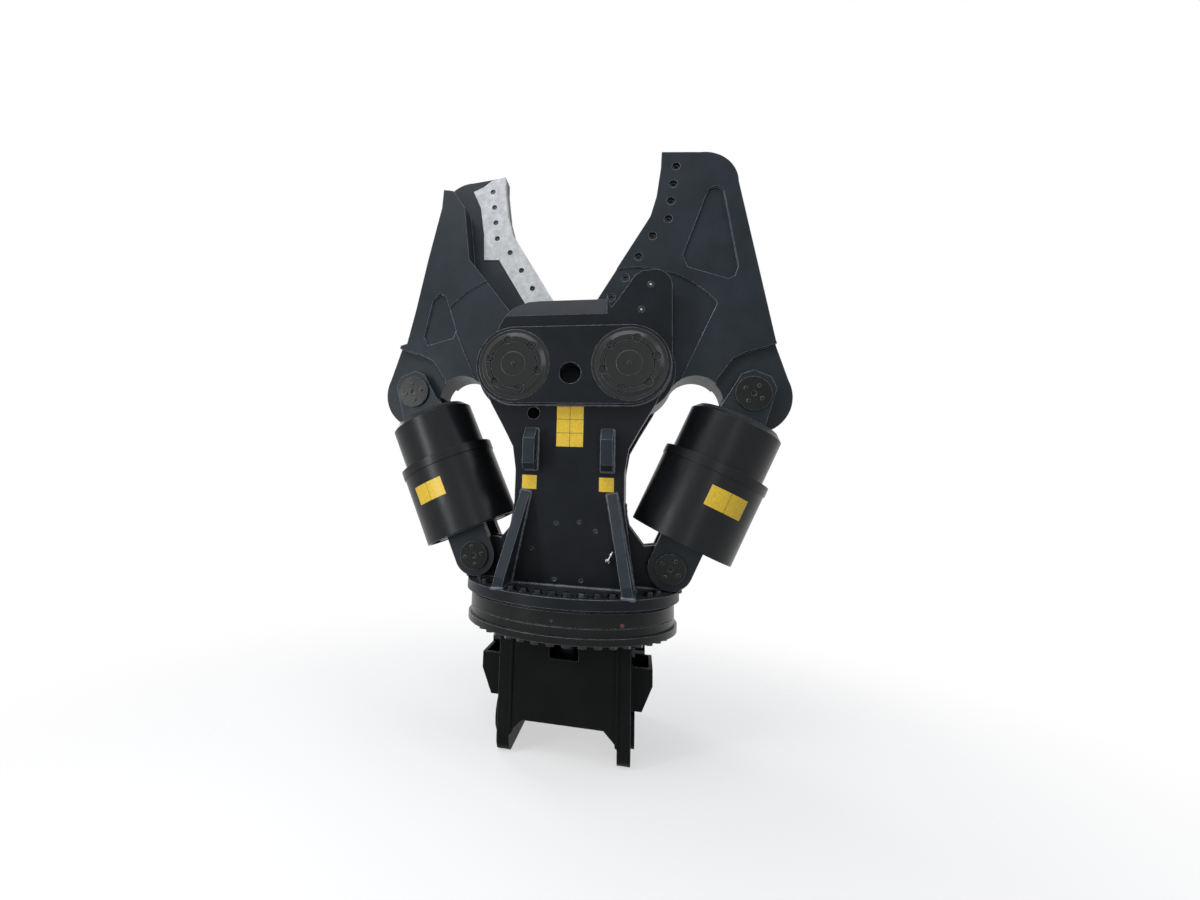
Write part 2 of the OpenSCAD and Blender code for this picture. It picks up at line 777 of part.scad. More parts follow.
module cylinder_lug() {
    difference() {
        union() {
            polygon([[waist_half, waist_low], [waist_half + lug_t / 2, 0.73 * -pivot_rise],
                [waist_half + 2 * lug_t, 0.815 * -pivot_rise],
                [base_pin_abs, base_pin_rise + lug_round_r - pivot_rise],
                [base_pin_abs + lug_t, 0 - pivot_rise], [waist_half, 0 - pivot_rise]]);
            translate([base_pin_abs, base_pin_rise - pivot_rise]) intersection() {
                circle(r = lug_round_r);
                translate([-far / 2, -base_pin_rise]) square([far, far]);
            }
        }
        translate([base_pin_abs, base_pin_rise - pivot_rise]) circle(r = base_pin_r + bush_t);
    }
}

module cylinder_lugs() {
    color(paint) both_sides() translate([0, 0, pivot_z]) for (y = [-lug_half, lug_half - lug_t])
        xz(y, y + lug_t) cylinder_lug();
}

module lug_bushes() {
    color(bronze) both_sides() translate([base_pin_abs, 0, base_pin_z])
        for (y = [-lug_half, lug_half - lug_t]) difference() {
            y_bar(base_pin_r + bush_t - seat_fit, y, y + lug_t);
            y_bar(base_pin_r + run_fit, y - cut, y + lug_t + cut);
        }
}

// Lifting lugs on the front plate, with an eye across
lift_x = 150;
lift_t = 46;
lift_top = -0.298 * pivot_rise;
lift_low = -0.487 * pivot_rise;
lift_out = 88;
lift_eye_r = 24;

module lifting_lug() {
    difference() {
        yz(lift_x - lift_t / 2, lift_x + lift_t / 2) difference() {
            polygon([[-frame_face, lift_top], [-frame_face - lift_out * 0.45, lift_top],
                [-frame_face - lift_out, lift_top - lift_out * 0.5],
                [-frame_face - lift_out, lift_low + lift_out * 0.25],
                [-frame_face - lift_out * 0.75, lift_low], [-frame_face, lift_low]]);
            translate([-frame_face - lift_out / 2, (2 * lift_low + lift_top) / 3]) circle(r = lift_eye_r);
        }
    }
}

module lifting_lugs() {
    color(paint) translate([0, 0, pivot_z]) for (s = [0, 1]) mirror([s, 0, 0]) lifting_lug();
}

motor_r = 52;
motor_h = 150;
motor_cap_h = 60;

// Slewing motor behind the rear plate, standing on the deck over its pinion
module slew_motor() {
    color(dark_paint) translate([0, gear_centre, deck_z]) difference() {
        union() {
            cylinder(r = motor_r, h = motor_h);
            translate([0, 0, motor_h]) cylinder(r = motor_r - cut, h = motor_cap_h);
            for (s = [-1, 1]) translate([s * motor_r, 0, motor_h + motor_cap_h / 2])
                x_bar(port_r, -motor_r / 2, motor_r / 2);
        }
        translate([0, 0, -cut]) cylinder(r = shaft_r + run_fit, h = shaft_rise + 2 * cut);
    }
}

// Guide pads that press on the jaw from the horn, with the plugs that set them
module jaw_guides() {
    inner = jaw_half - jaw_recess + face_gap;
    color(bright_steel) both_sides() for (p = guide_places) translate([p[0], 0, pivot_z + p[1]]) {
        y_bar(guide_pad_r, -frame_gap, -inner);
        y_bar(guide_plug_r, -frame_face - face_gap, -frame_gap);
    }
}

// Jaw: outlines are drawn from the front with the pivot at zero, as shares of the reach

jaw_recess = 8;
recess_r = 445;
bush_r = 112;
tip_round_r = 0.152 * jaw_reach;
rod_pin_clear = 8.5;
arch = [0.5485 * rod_pin_x, -1.32 * rod_pin_drop];
arch_r = 108;
cap_gap = 13;
lug_flat = cap_to_eye - cap_gap;
edge_shares = [[0.1305, 1], [0.1295, 0.940], [0.1086, 0.788], [0.0825, 0.697], [-0.165, 0.290],
    [-0.1284, 0.172]];
tip_corner_share = [0.3006, 0.832];
side_shares = [[0.4526, 0.832], [0.5825, 0.1242]];
cheek_shares = [[0.4134, 0.902], [0.3653, 0.893], [0.3027, 0.804], [0.2662, 0.538], [0.2244, 0.4885],
    [0.063, 0.284]];
cheek_side_shares = [[0.4175, 0.808], [0.4718, 0.545], [0.5167, 0.2975], [0.565, 0.069]];

module lug_round() {
    translate([rod_pin_x, -rod_pin_drop]) difference() {
        circle(r = lug_r);
        rotate(-right_angle - lean) translate([lug_flat, -lug_r]) square([lug_r, 2 * lug_r + arch_r]);
    }
}

// Where the cheek's inner edge ends on the hub, clear of the other jaw's plate when closed
cheek_root_share = [-0.115, 0.135];

// What both the cutting plate and the cheek have: hub, lug and the web between them.
// The two shares are the web's corners on the side of the blades
module jaw_root(low_share, high_share) {
    circle(r = jaw_hub_r);
    lug_round();
    polygon([[0, 0], low_share * jaw_reach, high_share * jaw_reach, side_shares[1] * jaw_reach,
        [rod_pin_x + lug_r * cos(lean), lug_r * sin(lean) - rod_pin_drop],
        [rod_pin_x, -rod_pin_drop], [rod_pin_x - lug_r * 0.71, -rod_pin_drop - 0.05 * lug_r],
        [jaw_hub_r * 0.928, -jaw_hub_r * 0.405]]);
}

module root_cuts() {
    translate(arch) circle(r = arch_r);
    translate([rod_pin_x, -rod_pin_drop]) rotate(-right_angle - lean - jaw_swing * 0.8)
        translate([lug_flat, lug_flat / 4]) mirror([0, 1]) square([lug_r, 1.5 * lug_flat]);
}

module plate_outline() {
    difference() {
        union() {
            jaw_root(edge_shares[5], edge_shares[4]);
            translate(tip_corner_share * jaw_reach) circle(r = tip_round_r);
            polygon(concat(scaled(edge_shares, jaw_reach), [[0, 0]],
                scaled([side_shares[1], side_shares[0], tip_corner_share,
                [tip_corner_share[0], tip_corner_share[1] + 0.1517]], jaw_reach)));
        }
        root_cuts();
    }
}

module cheek_outline() {
    difference() {
        union() {
            jaw_root(cheek_root_share, cheek_shares[5]);
            polygon(concat(scaled(cheek_shares, jaw_reach), [[0, 0]],
                [for (k = [len(cheek_side_shares) - 1:-1:0]) scaled([cheek_side_shares[k]], jaw_reach)[0]]));
        }
        root_cuts();
    }
}

// The lug is thinner than the jaw, so that the rod's fork passes outside it: the
// step's line, from the rod pin and as shares of the lug's radius
step_shares = [[-0.86, -3], [-0.86, 0.39], [-0.45, 0.96], [-0.17, 1.11], [0.59, 1.34], [5, 2.67], [5, -3]];

module lug_recess() {
    translate([rod_pin_x, -rod_pin_drop]) polygon(scaled(step_shares, lug_r));
}

// Shallow machined field round the pivot, where the guides bear on the jaw
module guide_field() {
    intersection() {
        circle(r = recess_r);
        polygon([[-jaw_reach, -jaw_reach], [0.19 * jaw_reach, -0.08 * jaw_reach],
            [0.357 * jaw_reach, 0.284 * jaw_reach], [0.357 * jaw_reach, jaw_reach], [-jaw_reach, jaw_reach]]);
    }
}

pocket_depth = 12;
pocket_top_share = [0.357, 0.783];
pocket_r_share = 0.035;
cheek_pocket_shares = [[0.400, 0.374], [0.372, 0.362], [0.313, 0.192], [0.323, 0.157],
    [0.447, 0.123], [0.468, 0.162], [0.433, 0.346]];

module plate_pocket() {
    polygon(scaled([[0.322, 0.795], [0.357, 0.818], [0.392, 0.793], [0.445, 0.450], [0.430, 0.408],
        [0.405, 0.395], [0.240, 0.455], [0.219, 0.510]], jaw_reach));
    translate(pocket_top_share * jaw_reach) circle(r = pocket_r_share * jaw_reach);
}

module cheek_pocket() {
    polygon(scaled(cheek_pocket_shares, jaw_reach));
}

blade_hole_shares = [[0.1925, 0.926], [0.1805, 0.8435], [0.170, 0.763], [0.159, 0.680],
    [0.0924, 0.6045], [0.0329, 0.5115], [-0.0235, 0.4195], [-0.0845, 0.331]];
blade_bolt_r = 12;
blade_head_r = 17;
blade_head_h = 18;
blade_head_sink = 12;

module at_blade_holes() {
    for (p = blade_hole_shares) translate([p[0] * jaw_reach, 0, p[1] * jaw_reach]) children();
}

tip_blade_shares = [[0.1305, 1], [0.1295, 0.940], [0.1086, 0.788], [0.0825, 0.697], [0.1461, 0.570],
    [0.2213, 0.573], [0.2276, 0.7025], [0.2505, 0.8455], [0.2912, 0.934], [0.240, 0.956], [0.2004, 0.9865]];
throat_blade_shares = [[0.0825, 0.697], [-0.1482, 0.3175], [-0.0459, 0.255], [0.1461, 0.570]];

// Right jaw in its own place: the cutting plate is the front half, the cheek the rear
module jaw() {
    seat_y = blade_t + face_gap / 2;
    translate([pivot_half, 0, pivot_z]) difference() {
        union() {
            xz(-jaw_half, -plate_back) plate_outline();
            xz(-plate_back, jaw_half) cheek_outline();
            y_bar(jaw_hub_r, -jaw_hub_half, jaw_hub_half);
        }
        y_bar(bush_r, -jaw_hub_half - cut, jaw_hub_half + cut);
        translate([rod_pin_x, 0, -rod_pin_drop]) y_bar(rod_pin_r + rod_pin_clear, -far, far);
        for (y = [-jaw_half - cut, lug_half]) xz(y, y + jaw_half - lug_half + cut) lug_recess();
        difference() {
            for (y = [-jaw_half - cut, jaw_half - jaw_recess]) xz(y, y + jaw_recess + cut) guide_field();
            y_bar(jaw_hub_r, -far, far);
        }
        xz(-jaw_half - cut, pocket_depth - jaw_half) plate_pocket();
        xz(jaw_half - pocket_depth, jaw_half + cut) cheek_pocket();
        xz(-seat_y, plate_back) polygon(scaled(tip_blade_shares, jaw_reach));
        xz(-seat_y, plate_back) polygon(scaled(throat_blade_shares, jaw_reach));
        at_blade_holes() {
            y_bar(blade_bolt_r + seat_fit, -jaw_half - cut, -seat_y + cut);
            y_bar(blade_head_r + seat_fit, -jaw_half - cut, blade_head_h + blade_head_sink - jaw_half);
        }
    }
}

module jaw_right() {
    color(paint) jaw();
}

module jaw_left() {
    color(paint) other_side() jaw();
}

module blade(shares) {
    translate([pivot_half, 0, pivot_z]) difference() {
        xz(-blade_t - face_gap / 2, -face_gap / 2) polygon(scaled(shares, jaw_reach));
        at_blade_holes() y_bar(blade_bolt_r + seat_fit, -blade_t - cut, cut);
    }
}

module tip_blade_right() {
    color(raw_steel) blade(tip_blade_shares);
}

module tip_blade_left() {
    color(raw_steel) other_side() blade(tip_blade_shares);
}

module throat_blade_right() {
    color(raw_steel) blade(throat_blade_shares);
}

module throat_blade_left() {
    color(raw_steel) other_side() blade(throat_blade_shares);
}

// Blade bolts: head sunk in the jaw's outer face, end just below the blade's face
module blade_bolts() {
    bolt_end = -blade_t / 4;
    socket_r = blade_bolt_r * 0.6;
    translate([pivot_half, 0, pivot_z]) at_blade_holes() difference() {
        union() {
            y_bar(blade_head_r, blade_head_sink - jaw_half, blade_head_h + blade_head_sink - jaw_half);
            y_bar(blade_bolt_r, blade_head_sink - jaw_half, bolt_end);
        }
        y_bar(socket_r, -jaw_half - cut, blade_head_h / 2 + blade_head_sink - jaw_half);
    }
}

module blade_bolts_right() {
    color(dark_paint) blade_bolts();
}

module blade_bolts_left() {
    color(dark_paint) other_side() blade_bolts();
}

module hub_bush() {
    translate([pivot_half, 0, pivot_z]) difference() {
        y_bar(bush_r - seat_fit, -jaw_hub_half, jaw_hub_half);
        y_bar(pivot_pin_r + run_fit, -far / 2, far / 2);
    }
}

module hub_bush_right() {
    color(bronze) hub_bush();
}

module hub_bush_left() {
    color(bronze) other_side() hub_bush();
}

// Cylinder: drawn upright from its base pin, then leaned over to the jaw's pin

base_disc_r = 150;
base_disc_t = 20;
web_plate_t = 16;
tube_floor = 32;
piston_gap = 12;
piston_t = 60;
gland_in = 65;
gland_flange_t = 20;
tube_over = 104;
tube_top = sleeve_top + tube_over;
sleeve_lap = 44;
cap_s = link_len - cap_to_eye;
eye_disc_t = 30;
cap_chamfer = 24;
base_cap_wall = 7;
rod_cap_wall = 11.5;
lip_h = 36;
lip_t = 4;
cap_bolt_r = 7;
cap_bolt_circle = 35.6;
cap_bolt_h = 5;
cap_hole_r = 10;

module on_cylinder() {
    translate([base_pin_abs, 0, base_pin_z]) rotate([0, lean, 0]) children();
}

// Lower fork: two ears with round ends, up to the base disc
module lower_fork() {
    for (y = [-fork_out, fork_in]) xz(y, y + fork_t) difference() {
        union() {
            circle(r = lower_fork_r);
            translate([-lower_fork_r, 0]) square([2 * lower_fork_r, sleeve_foot]);
        }
        circle(r = base_pin_r + seat_fit);
    }
}

// Upper fork: its ears taper upwards and end in cut corners, as shares of the eye's radius
upper_ear_shares = [[0.90, -1], [0.71, 0.56], [0.36, 0.90]];

module upper_fork() {
    right = upper_fork_r * upper_ear_shares;
    left = [for (k = [len(right) - 1:-1:0]) [-right[k][0], right[k][1]]];
    foot = [[right[0][0], -cap_to_eye], [-right[0][0], -cap_to_eye]];
    for (y = [-fork_out, fork_in]) translate([0, 0, link_len]) xz(y, y + fork_t) difference() {
        polygon(concat(right, left, [foot[1], foot[0]]));
        circle(r = rod_pin_r + seat_fit);
    }
}

// Cylinder tube with its floor, its base disc and the lower fork
module barrel() {
    tube_low = sleeve_foot + base_disc_t;
    on_cylinder() {
        lower_fork();
        difference() {
            union() {
                translate([0, 0, sleeve_foot]) cylinder(r = base_disc_r, h = base_disc_t);
                translate([0, 0, tube_low]) cylinder(r = barrel_r, h = tube_top - tube_low);
            }
            translate([0, 0, tube_low + tube_floor]) cylinder(r = bore_r, h = tube_top);
        }
    }
}

module gland() {
    on_cylinder() difference() {
        union() {
            translate([0, 0, tube_top - gland_in]) cylinder(r = bore_r - seat_fit, h = gland_in);
            translate([0, 0, tube_top]) cylinder(r = barrel_r, h = gland_flange_t);
        }
        translate([0, 0, tube_top - gland_in - cut]) cylinder(r = rod_r + run_fit, h = far);
    }
}

// Guard sleeve carried on the base disc by a ring-shaped web
module lower_sleeve() {
    on_cylinder() {
        ring(lower_sleeve_r, lower_sleeve_r - sleeve_t, sleeve_foot, sleeve_top);
        ring(lower_sleeve_r + lip_t, lower_sleeve_r - sleeve_t / 2, sleeve_top - lip_h, sleeve_top);
        ring(lower_sleeve_r - sleeve_t / 2, barrel_r + seat_fit, sleeve_foot + base_disc_t,
            sleeve_foot + base_disc_t + web_plate_t);
    }
}

// A pin through a fork, with a round cap bolted on each end
module capped_pin(r, cap_r) {
    y_bar(r, -fork_out, fork_out);
    for (s = [0, half_turn]) rotate([0, 0, s]) difference() {
        union() {
            y_bar(cap_r, -fork_out - pin_cap_t, -fork_out);
            for (k = [0:3]) rotate([0, k * right_angle + 10, 0]) translate([cap_bolt_circle, 0, 0])
                y_bar(cap_bolt_r, -fork_out - pin_cap_t - cap_bolt_h, -fork_out - pin_cap_t);
        }
        y_bar(cap_hole_r, -fork_out - pin_cap_t - cut, -fork_out - pin_cap_t / 2);
    }
}

module base_pin() {
    on_cylinder() capped_pin(base_pin_r, base_pin_r + base_cap_wall);
}

// Piston rod with the disc that carries the upper fork and the upper sleeve
module rod() {
    disc_r = upper_sleeve_r - sleeve_t - seat_fit;
    on_cylinder() {
        upper_fork();
        rotate_extrude() polygon([[0, cap_s - eye_disc_t], [disc_r, cap_s - eye_disc_t],
            [disc_r, cap_s - cap_chamfer + sleeve_t], [disc_r - cap_chamfer + sleeve_t, cap_s], [0, cap_s]]);
        translate([0, 0, piston_low + piston_t])
            cylinder(r = rod_r, h = cap_s - eye_disc_t - piston_low - piston_t);
    }
}

piston_low = sleeve_foot + base_disc_t + tube_floor + piston_gap;

module piston() {
    on_cylinder() translate([0, 0, piston_low]) cylinder(r = bore_r - run_fit, h = piston_t);
}

// The upper sleeve slides over the tube and inside the lower sleeve
module upper_sleeve() {
    low = piston_low + piston_gap;
    on_cylinder() rotate_extrude() polygon([[upper_sleeve_r - sleeve_t, low], [upper_sleeve_r, low],
        [upper_sleeve_r, cap_s - cap_chamfer], [upper_sleeve_r - sleeve_t, cap_s - cap_chamfer + sleeve_t]]);
}

module rod_pin() {
    on_cylinder() translate([0, 0, link_len]) capped_pin(rod_pin_r, rod_pin_r + rod_cap_wall);
}

module barrel_right() { color(dark_paint) barrel(); }
module barrel_left() { color(dark_paint) other_side() barrel(); }
module gland_right() { color(bright_steel) gland(); }
module gland_left() { color(bright_steel) other_side() gland(); }
module lower_sleeve_right() { color(paint) lower_sleeve(); }
module lower_sleeve_left() { color(paint) other_side() lower_sleeve(); }
module base_pin_right() { color(dark_paint) base_pin(); }
module base_pin_left() { color(dark_paint) other_side() base_pin(); }
module rod_right() { color(dark_paint) rod(); }
module rod_left() { color(dark_paint) other_side() rod(); }
module piston_right() { color(bright_steel) piston(); }
module piston_left() { color(bright_steel) other_side() piston(); }
module upper_sleeve_right() { color(paint) upper_sleeve(); }
module upper_sleeve_left() { color(paint) other_side() upper_sleeve(); }
module rod_pin_right() { color(dark_paint) rod_pin(); }
module rod_pin_left() { color(dark_paint) other_side() rod_pin(); }

mount_ear_left();
mount_ear_right();
mount_front_panel();
mount_rear_panel();
mount_flange();
mount_flange_bolts();
inner_race();
swivel_core();
port_guards();
port_fittings();
slew_balls();
outer_race();
base_flange();
base_flange_bolts();
front_plate();
rear_plate();
front_hub_plate();
rear_hub_plate();
head_block();
side_webs();
gussets();
cylinder_lugs();
lug_bushes();
lifting_lugs();
swivel_housing();
slew_motor();
pivot_pin_right();
pivot_pin_left();
pin_retainers();
retainer_bolts();
jaw_guides();
slew_pinion();
jaw_right();
tip_blade_right();
throat_blade_right();
blade_bolts_right();
hub_bush_right();
jaw_left();
tip_blade_left();
throat_blade_left();
blade_bolts_left();
hub_bush_left();
barrel_right();
gland_right();
lower_sleeve_right();
base_pin_right();
rod_right();
piston_right();
upper_sleeve_right();
rod_pin_right();
barrel_left();
gland_left();
lower_sleeve_left();
base_pin_left();
rod_left();
piston_left();
upper_sleeve_left();
rod_pin_left();
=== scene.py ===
# %% [markdown]
# A rotating demolition shear, the kind that hangs on an excavator and bites through
# beams. It arrives here as a imported CAD model, already in metres and in its place.
# Blender dresses it: paint, raw steel, weld seams, stickers, lamps and a camera. We
# load the model first and keep its box.

# %% Load the CAD model
import math

import bmesh
import bpy
from mathutils import Matrix, Vector


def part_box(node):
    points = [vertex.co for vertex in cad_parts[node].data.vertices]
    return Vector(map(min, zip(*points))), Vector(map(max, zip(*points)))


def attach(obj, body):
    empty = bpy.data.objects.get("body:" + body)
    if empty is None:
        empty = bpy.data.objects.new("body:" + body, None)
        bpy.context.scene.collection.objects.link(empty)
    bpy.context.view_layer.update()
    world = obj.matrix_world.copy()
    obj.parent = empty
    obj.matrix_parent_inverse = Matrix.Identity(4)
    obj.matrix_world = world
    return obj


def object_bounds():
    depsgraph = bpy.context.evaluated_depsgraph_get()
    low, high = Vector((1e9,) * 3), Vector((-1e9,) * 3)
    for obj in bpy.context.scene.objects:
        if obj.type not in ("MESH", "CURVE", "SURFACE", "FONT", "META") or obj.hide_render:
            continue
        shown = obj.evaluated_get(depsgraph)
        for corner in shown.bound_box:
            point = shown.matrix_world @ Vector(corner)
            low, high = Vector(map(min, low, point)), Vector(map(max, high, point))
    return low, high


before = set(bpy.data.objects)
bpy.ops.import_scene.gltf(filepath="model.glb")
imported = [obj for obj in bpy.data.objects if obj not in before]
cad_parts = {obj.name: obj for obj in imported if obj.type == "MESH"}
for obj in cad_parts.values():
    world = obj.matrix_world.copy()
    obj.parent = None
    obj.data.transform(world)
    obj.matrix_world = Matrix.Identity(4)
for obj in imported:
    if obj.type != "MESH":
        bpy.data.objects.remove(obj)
cad_box = [list(corner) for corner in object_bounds()]
print("the CAD model reaches from", cad_box[0], "to", cad_box[1])

# %% [markdown]
# The real shear is drawn in millimetres and Blender works in metres, so one factor
# turns the first into the second. The places that the dressing needs most are read
# from the frame itself: the two main pivots from the right one's pin, because they
# stand alike on both sides of the middle, and the deck from its flange. Whatever is
# placed from them still fits if the model changes.

# %% Sizes and places
MM = 0.001
X, Y, Z = 0, 1, 2

def centre_of(node):
    """The middle of a CAD node's box."""
    low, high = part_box(node)
    return (low + high) / 2

pivot_right = centre_of("pivot_pin_right")
pivot_half = pivot_right.x
pivot_z = pivot_right.z
deck_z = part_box("base_flange")[1].z
bracket_top_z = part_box("mount_flange")[0].z
plate_face = -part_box("front_plate")[0].y
print("pivots at x", -pivot_half, "and", pivot_half, "height", pivot_z)

# %% [markdown]
# Colours are written as the hex values of a screen, which are stored with a curve. They
# were chosen first, then changed until the render had the photograph's shades at a few
# points. Shaders calculate with plain light, so one function undoes that curve. A
# second one adds a node to a node tree: it applies the node's settings, and then each
# input gets a value or a link from another node's output. Where a node has several
# inputs of one name, as Mix has, i6 means its input number 6.

# %% Colours and nodes
def linear(hex_colour):
    """Turns a screen colour such as "#1b1d21" into the light values of a shader."""
    values = [int(hex_colour[k:k + 2], 16) / 255 for k in (1, 3, 5)]
    light = [v / 12.92 if v <= 0.04045 else ((v + 0.055) / 1.055) ** 2.4 for v in values]
    return (*light, 1.0)

def add(tree, kind, settings=None, **sockets):
    """Adds a node, applies its settings, and fills or links its inputs."""
    node = tree.nodes.new(kind)
    for name, value in (settings or {}).items():
        setattr(node, name, value)
    for name, value in sockets.items():
        key = int(name[1:]) if name[0] == "i" and name[1:].isdigit() else name.replace("_", " ")
        if isinstance(value, bpy.types.NodeSocket):
            tree.links.new(value, node.inputs[key])
        else:
            node.inputs[key].default_value = value
    return node

COLOUR_MIX = {"data_type": "RGBA"}
MIXED = 2

def new_material(name):
    """An empty material with a Principled shader; returns the material, its tree and the shader."""
    material = bpy.data.materials.new(name)
    material.use_nodes = True
    tree = material.node_tree
    tree.nodes.clear()
    shader = add(tree, "ShaderNodeBsdfPrincipled")
    add(tree, "ShaderNodeOutputMaterial", Surface=shader.outputs[0])
    return material, tree, shader

# %% [markdown]
# An outside corner of a welded steel structure is never razor-sharp: it is ground a
# little round, and paint wears thin on it. The CAD model has sharp edges, so the
# shader finds them instead. A Bevel node gives the direction that the surface would
# have if its edges were rounded; where that differs from the true direction we are
# near an edge. The same rounded direction also makes each edge catch the light, which
# is what draws the thin bright outlines on a black machine.

# %% Finding the edges
EDGE_START = 0.985
EDGE_FULL = 0.85

def edge_finder(tree, radius):
    """The rounded direction near edges, and a mask that is 1 on an edge."""
    rounded = add(tree, "ShaderNodeBevel", {"samples": 6}, Radius=radius)
    true = add(tree, "ShaderNodeNewGeometry")
    likeness = add(tree, "ShaderNodeVectorMath", {"operation": "DOT_PRODUCT"},
                   i0=rounded.outputs["Normal"], i1=true.outputs["Normal"])
    edge = add(tree, "ShaderNodeMapRange", Value=likeness.outputs["Value"],
               From_Min=EDGE_START, From_Max=EDGE_FULL)
    return rounded.outputs["Normal"], edge.outputs["Result"]

# %% [markdown]
# The shear is sprayed with a satin two-pack enamel in near-black. Seen close, such a
# coat has the fine waves called orange peel, patches of a slightly different shade, and
# faint runs that follow gravity. We layer these by size: patches of 150 mm change the
# colour, runs 30 mm wide and blotches of 12 mm the roughness, waves of 3 mm the bump. The
# edges get a lighter grey, broken up by noise of 20 mm: partly worn paint, and partly a
# painted highlight that stands for the bright lines the edges catch. A little pale dust
# lies on what faces up. An old coat reflects less than fresh plastic, so its specular
# level is below the usual one half. One recipe serves for all painted pieces: castings
# are a shade paler, partly their paint and partly painted sky light; the bracket is
# darker and dull, partly its paint and partly painted shade under the ring; and turned
# rings, tubes and pins are glossier.

# %% Satin enamel
PATCH = 150 * MM
RUN = 30 * MM
RUN_STRETCH = 0.12
BLOTCH = 12 * MM
CHIP = 20 * MM
WAVE = 3 * MM
WAVE_DEPTH = 0.4 * MM
DUST = "#6d6f70"

def satin_enamel(name, body, patch, worn_highlight_colour, roughness, shine, worn_highlight_amount=0.6, dust=0.25, edge_radius=4 * MM):
    """Sprayed enamel; body and patch are its two close shades, and the third colour goes on the edges as worn
    paint and painted highlight.
    """
    material, tree, shader = new_material(name)
    place = add(tree, "ShaderNodeTexCoord").outputs["Object"]
    patches = add(tree, "ShaderNodeTexNoise", Vector=place, Scale=1 / PATCH, Detail=5.0, Roughness=0.6)
    spread = add(tree, "ShaderNodeMapRange", Value=patches.outputs["Fac"], From_Min=0.35, From_Max=0.68)
    base = add(tree, "ShaderNodeMix", COLOUR_MIX, Factor=spread.outputs["Result"], i6=linear(body),
               i7=linear(patch))
    drawn_out = add(tree, "ShaderNodeMapping", Vector=place, Scale=(1, 1, RUN_STRETCH))
    runs = add(tree, "ShaderNodeTexNoise", Vector=drawn_out.outputs["Vector"], Scale=1 / RUN, Detail=4.0)
    blotches = add(tree, "ShaderNodeTexNoise", Vector=place, Scale=1 / BLOTCH, Detail=4.0)
    uneven = add(tree, "ShaderNodeMath", {"operation": "ADD"}, i0=blotches.outputs["Fac"],
                 i1=runs.outputs["Fac"])
    rough = add(tree, "ShaderNodeMapRange", Value=uneven.outputs[0], From_Min=0.6, From_Max=1.4,
                To_Min=roughness - 0.05, To_Max=roughness + 0.07)
    rounded, edge = edge_finder(tree, edge_radius)
    chips = add(tree, "ShaderNodeTexNoise", Vector=place, Scale=1 / CHIP, Detail=6.0, Roughness=0.7)
    chipped = add(tree, "ShaderNodeMapRange", Value=chips.outputs["Fac"], From_Min=0.30, From_Max=0.52,
                  To_Max=worn_highlight_amount)
    # Edges get the lighter third colour, partly as worn paint and partly as a painted highlight.
    worn_highlight_mask = add(tree, "ShaderNodeMath", {"operation": "MULTIPLY"}, i0=edge, i1=chipped.outputs["Result"])
    with_worn_highlight = add(tree, "ShaderNodeMix", COLOUR_MIX, Factor=worn_highlight_mask.outputs[0], i6=base.outputs[MIXED],
                i7=linear(worn_highlight_colour))
    facing = add(tree, "ShaderNodeSeparateXYZ", Vector=add(tree, "ShaderNodeNewGeometry").outputs["Normal"])
    upward = add(tree, "ShaderNodeMapRange", Value=facing.outputs["Z"], From_Min=0.5, From_Max=1.0,
                 To_Max=dust)
    settled = add(tree, "ShaderNodeMath", {"operation": "MULTIPLY"}, i0=upward.outputs["Result"],
                  i1=patches.outputs["Fac"])
    dusty = add(tree, "ShaderNodeMix", COLOUR_MIX, Factor=settled.outputs[0], i6=with_worn_highlight.outputs[MIXED],
                i7=linear(DUST))
    tree.links.new(dusty.outputs[MIXED], shader.inputs["Base Color"])
    tree.links.new(rough.outputs["Result"], shader.inputs["Roughness"])
    shader.inputs["Specular IOR Level"].default_value = shine
    waves = add(tree, "ShaderNodeTexNoise", Vector=place, Scale=1 / WAVE, Detail=2.0)
    bump = add(tree, "ShaderNodeBump", Height=waves.outputs["Fac"], Strength=0.08, Distance=WAVE_DEPTH,
               Normal=rounded)
    tree.links.new(bump.outputs["Normal"], shader.inputs["Normal"])
    return material

frame_enamel = satin_enamel("satin_black_enamel", "#16191c", "#1e2125", "#a2a8b0", 0.36, 0.10,
                            worn_highlight_amount=0.9, dust=0.12)
# The castings' enamel is paler than the plates': partly its own paint, partly painted sky light.
castings_enamel_with_sky_light = satin_enamel("satin_black_enamel_on_castings_with_painted_sky_light", "#1e2428", "#282f34", "#a2a8b0", 0.40, 0.15,
                          worn_highlight_amount=0.9, dust=0.12)
# The bracket's enamel is darker and duller than the frame's: partly its own paint, partly painted shade under
# the turning ring.
bracket_enamel_with_painted_shade = satin_enamel("dull_black_enamel_with_painted_shade", "#131414", "#191a1a", "#77797b", 0.46, 0.06,
                              worn_highlight_amount=0.8, dust=0.10)
ring_enamel = satin_enamel("satin_black_enamel_on_turned_rings", "#151616", "#1d1e1e", "#9a9da0", 0.27, 0.14,
                           worn_highlight_amount=0.7, dust=0.10)
pin_enamel = satin_enamel("gloss_black_enamel_on_pins", "#0f1011", "#151617", "#9a9da0", 0.20, 0.34,
                          worn_highlight_amount=0.45, dust=0.05, edge_radius=3 * MM)
sleeve_enamel = satin_enamel("gloss_black_enamel_on_tube", "#111315", "#17191c", "#5b6067", 0.31, 0.20,
                             worn_highlight_amount=0.0, dust=0.1, edge_radius=3 * MM)
print("enamels ready")

# %% [markdown]
# The frame's weld seams are painted over with the rest, but their ripples stand proud,
# so the paint on them is rubbed and a little shinier. Its much paler grey is partly
# rubbed paint and partly a painted glint, the light that the ripples catch.

# %% Painted weld
weld_paint_with_painted_glint = satin_enamel("painted_weld_seam_with_painted_glint", "#34373d", "#5a5e66", "#9a9fa8", 0.26, 0.50, worn_highlight_amount=0.0)

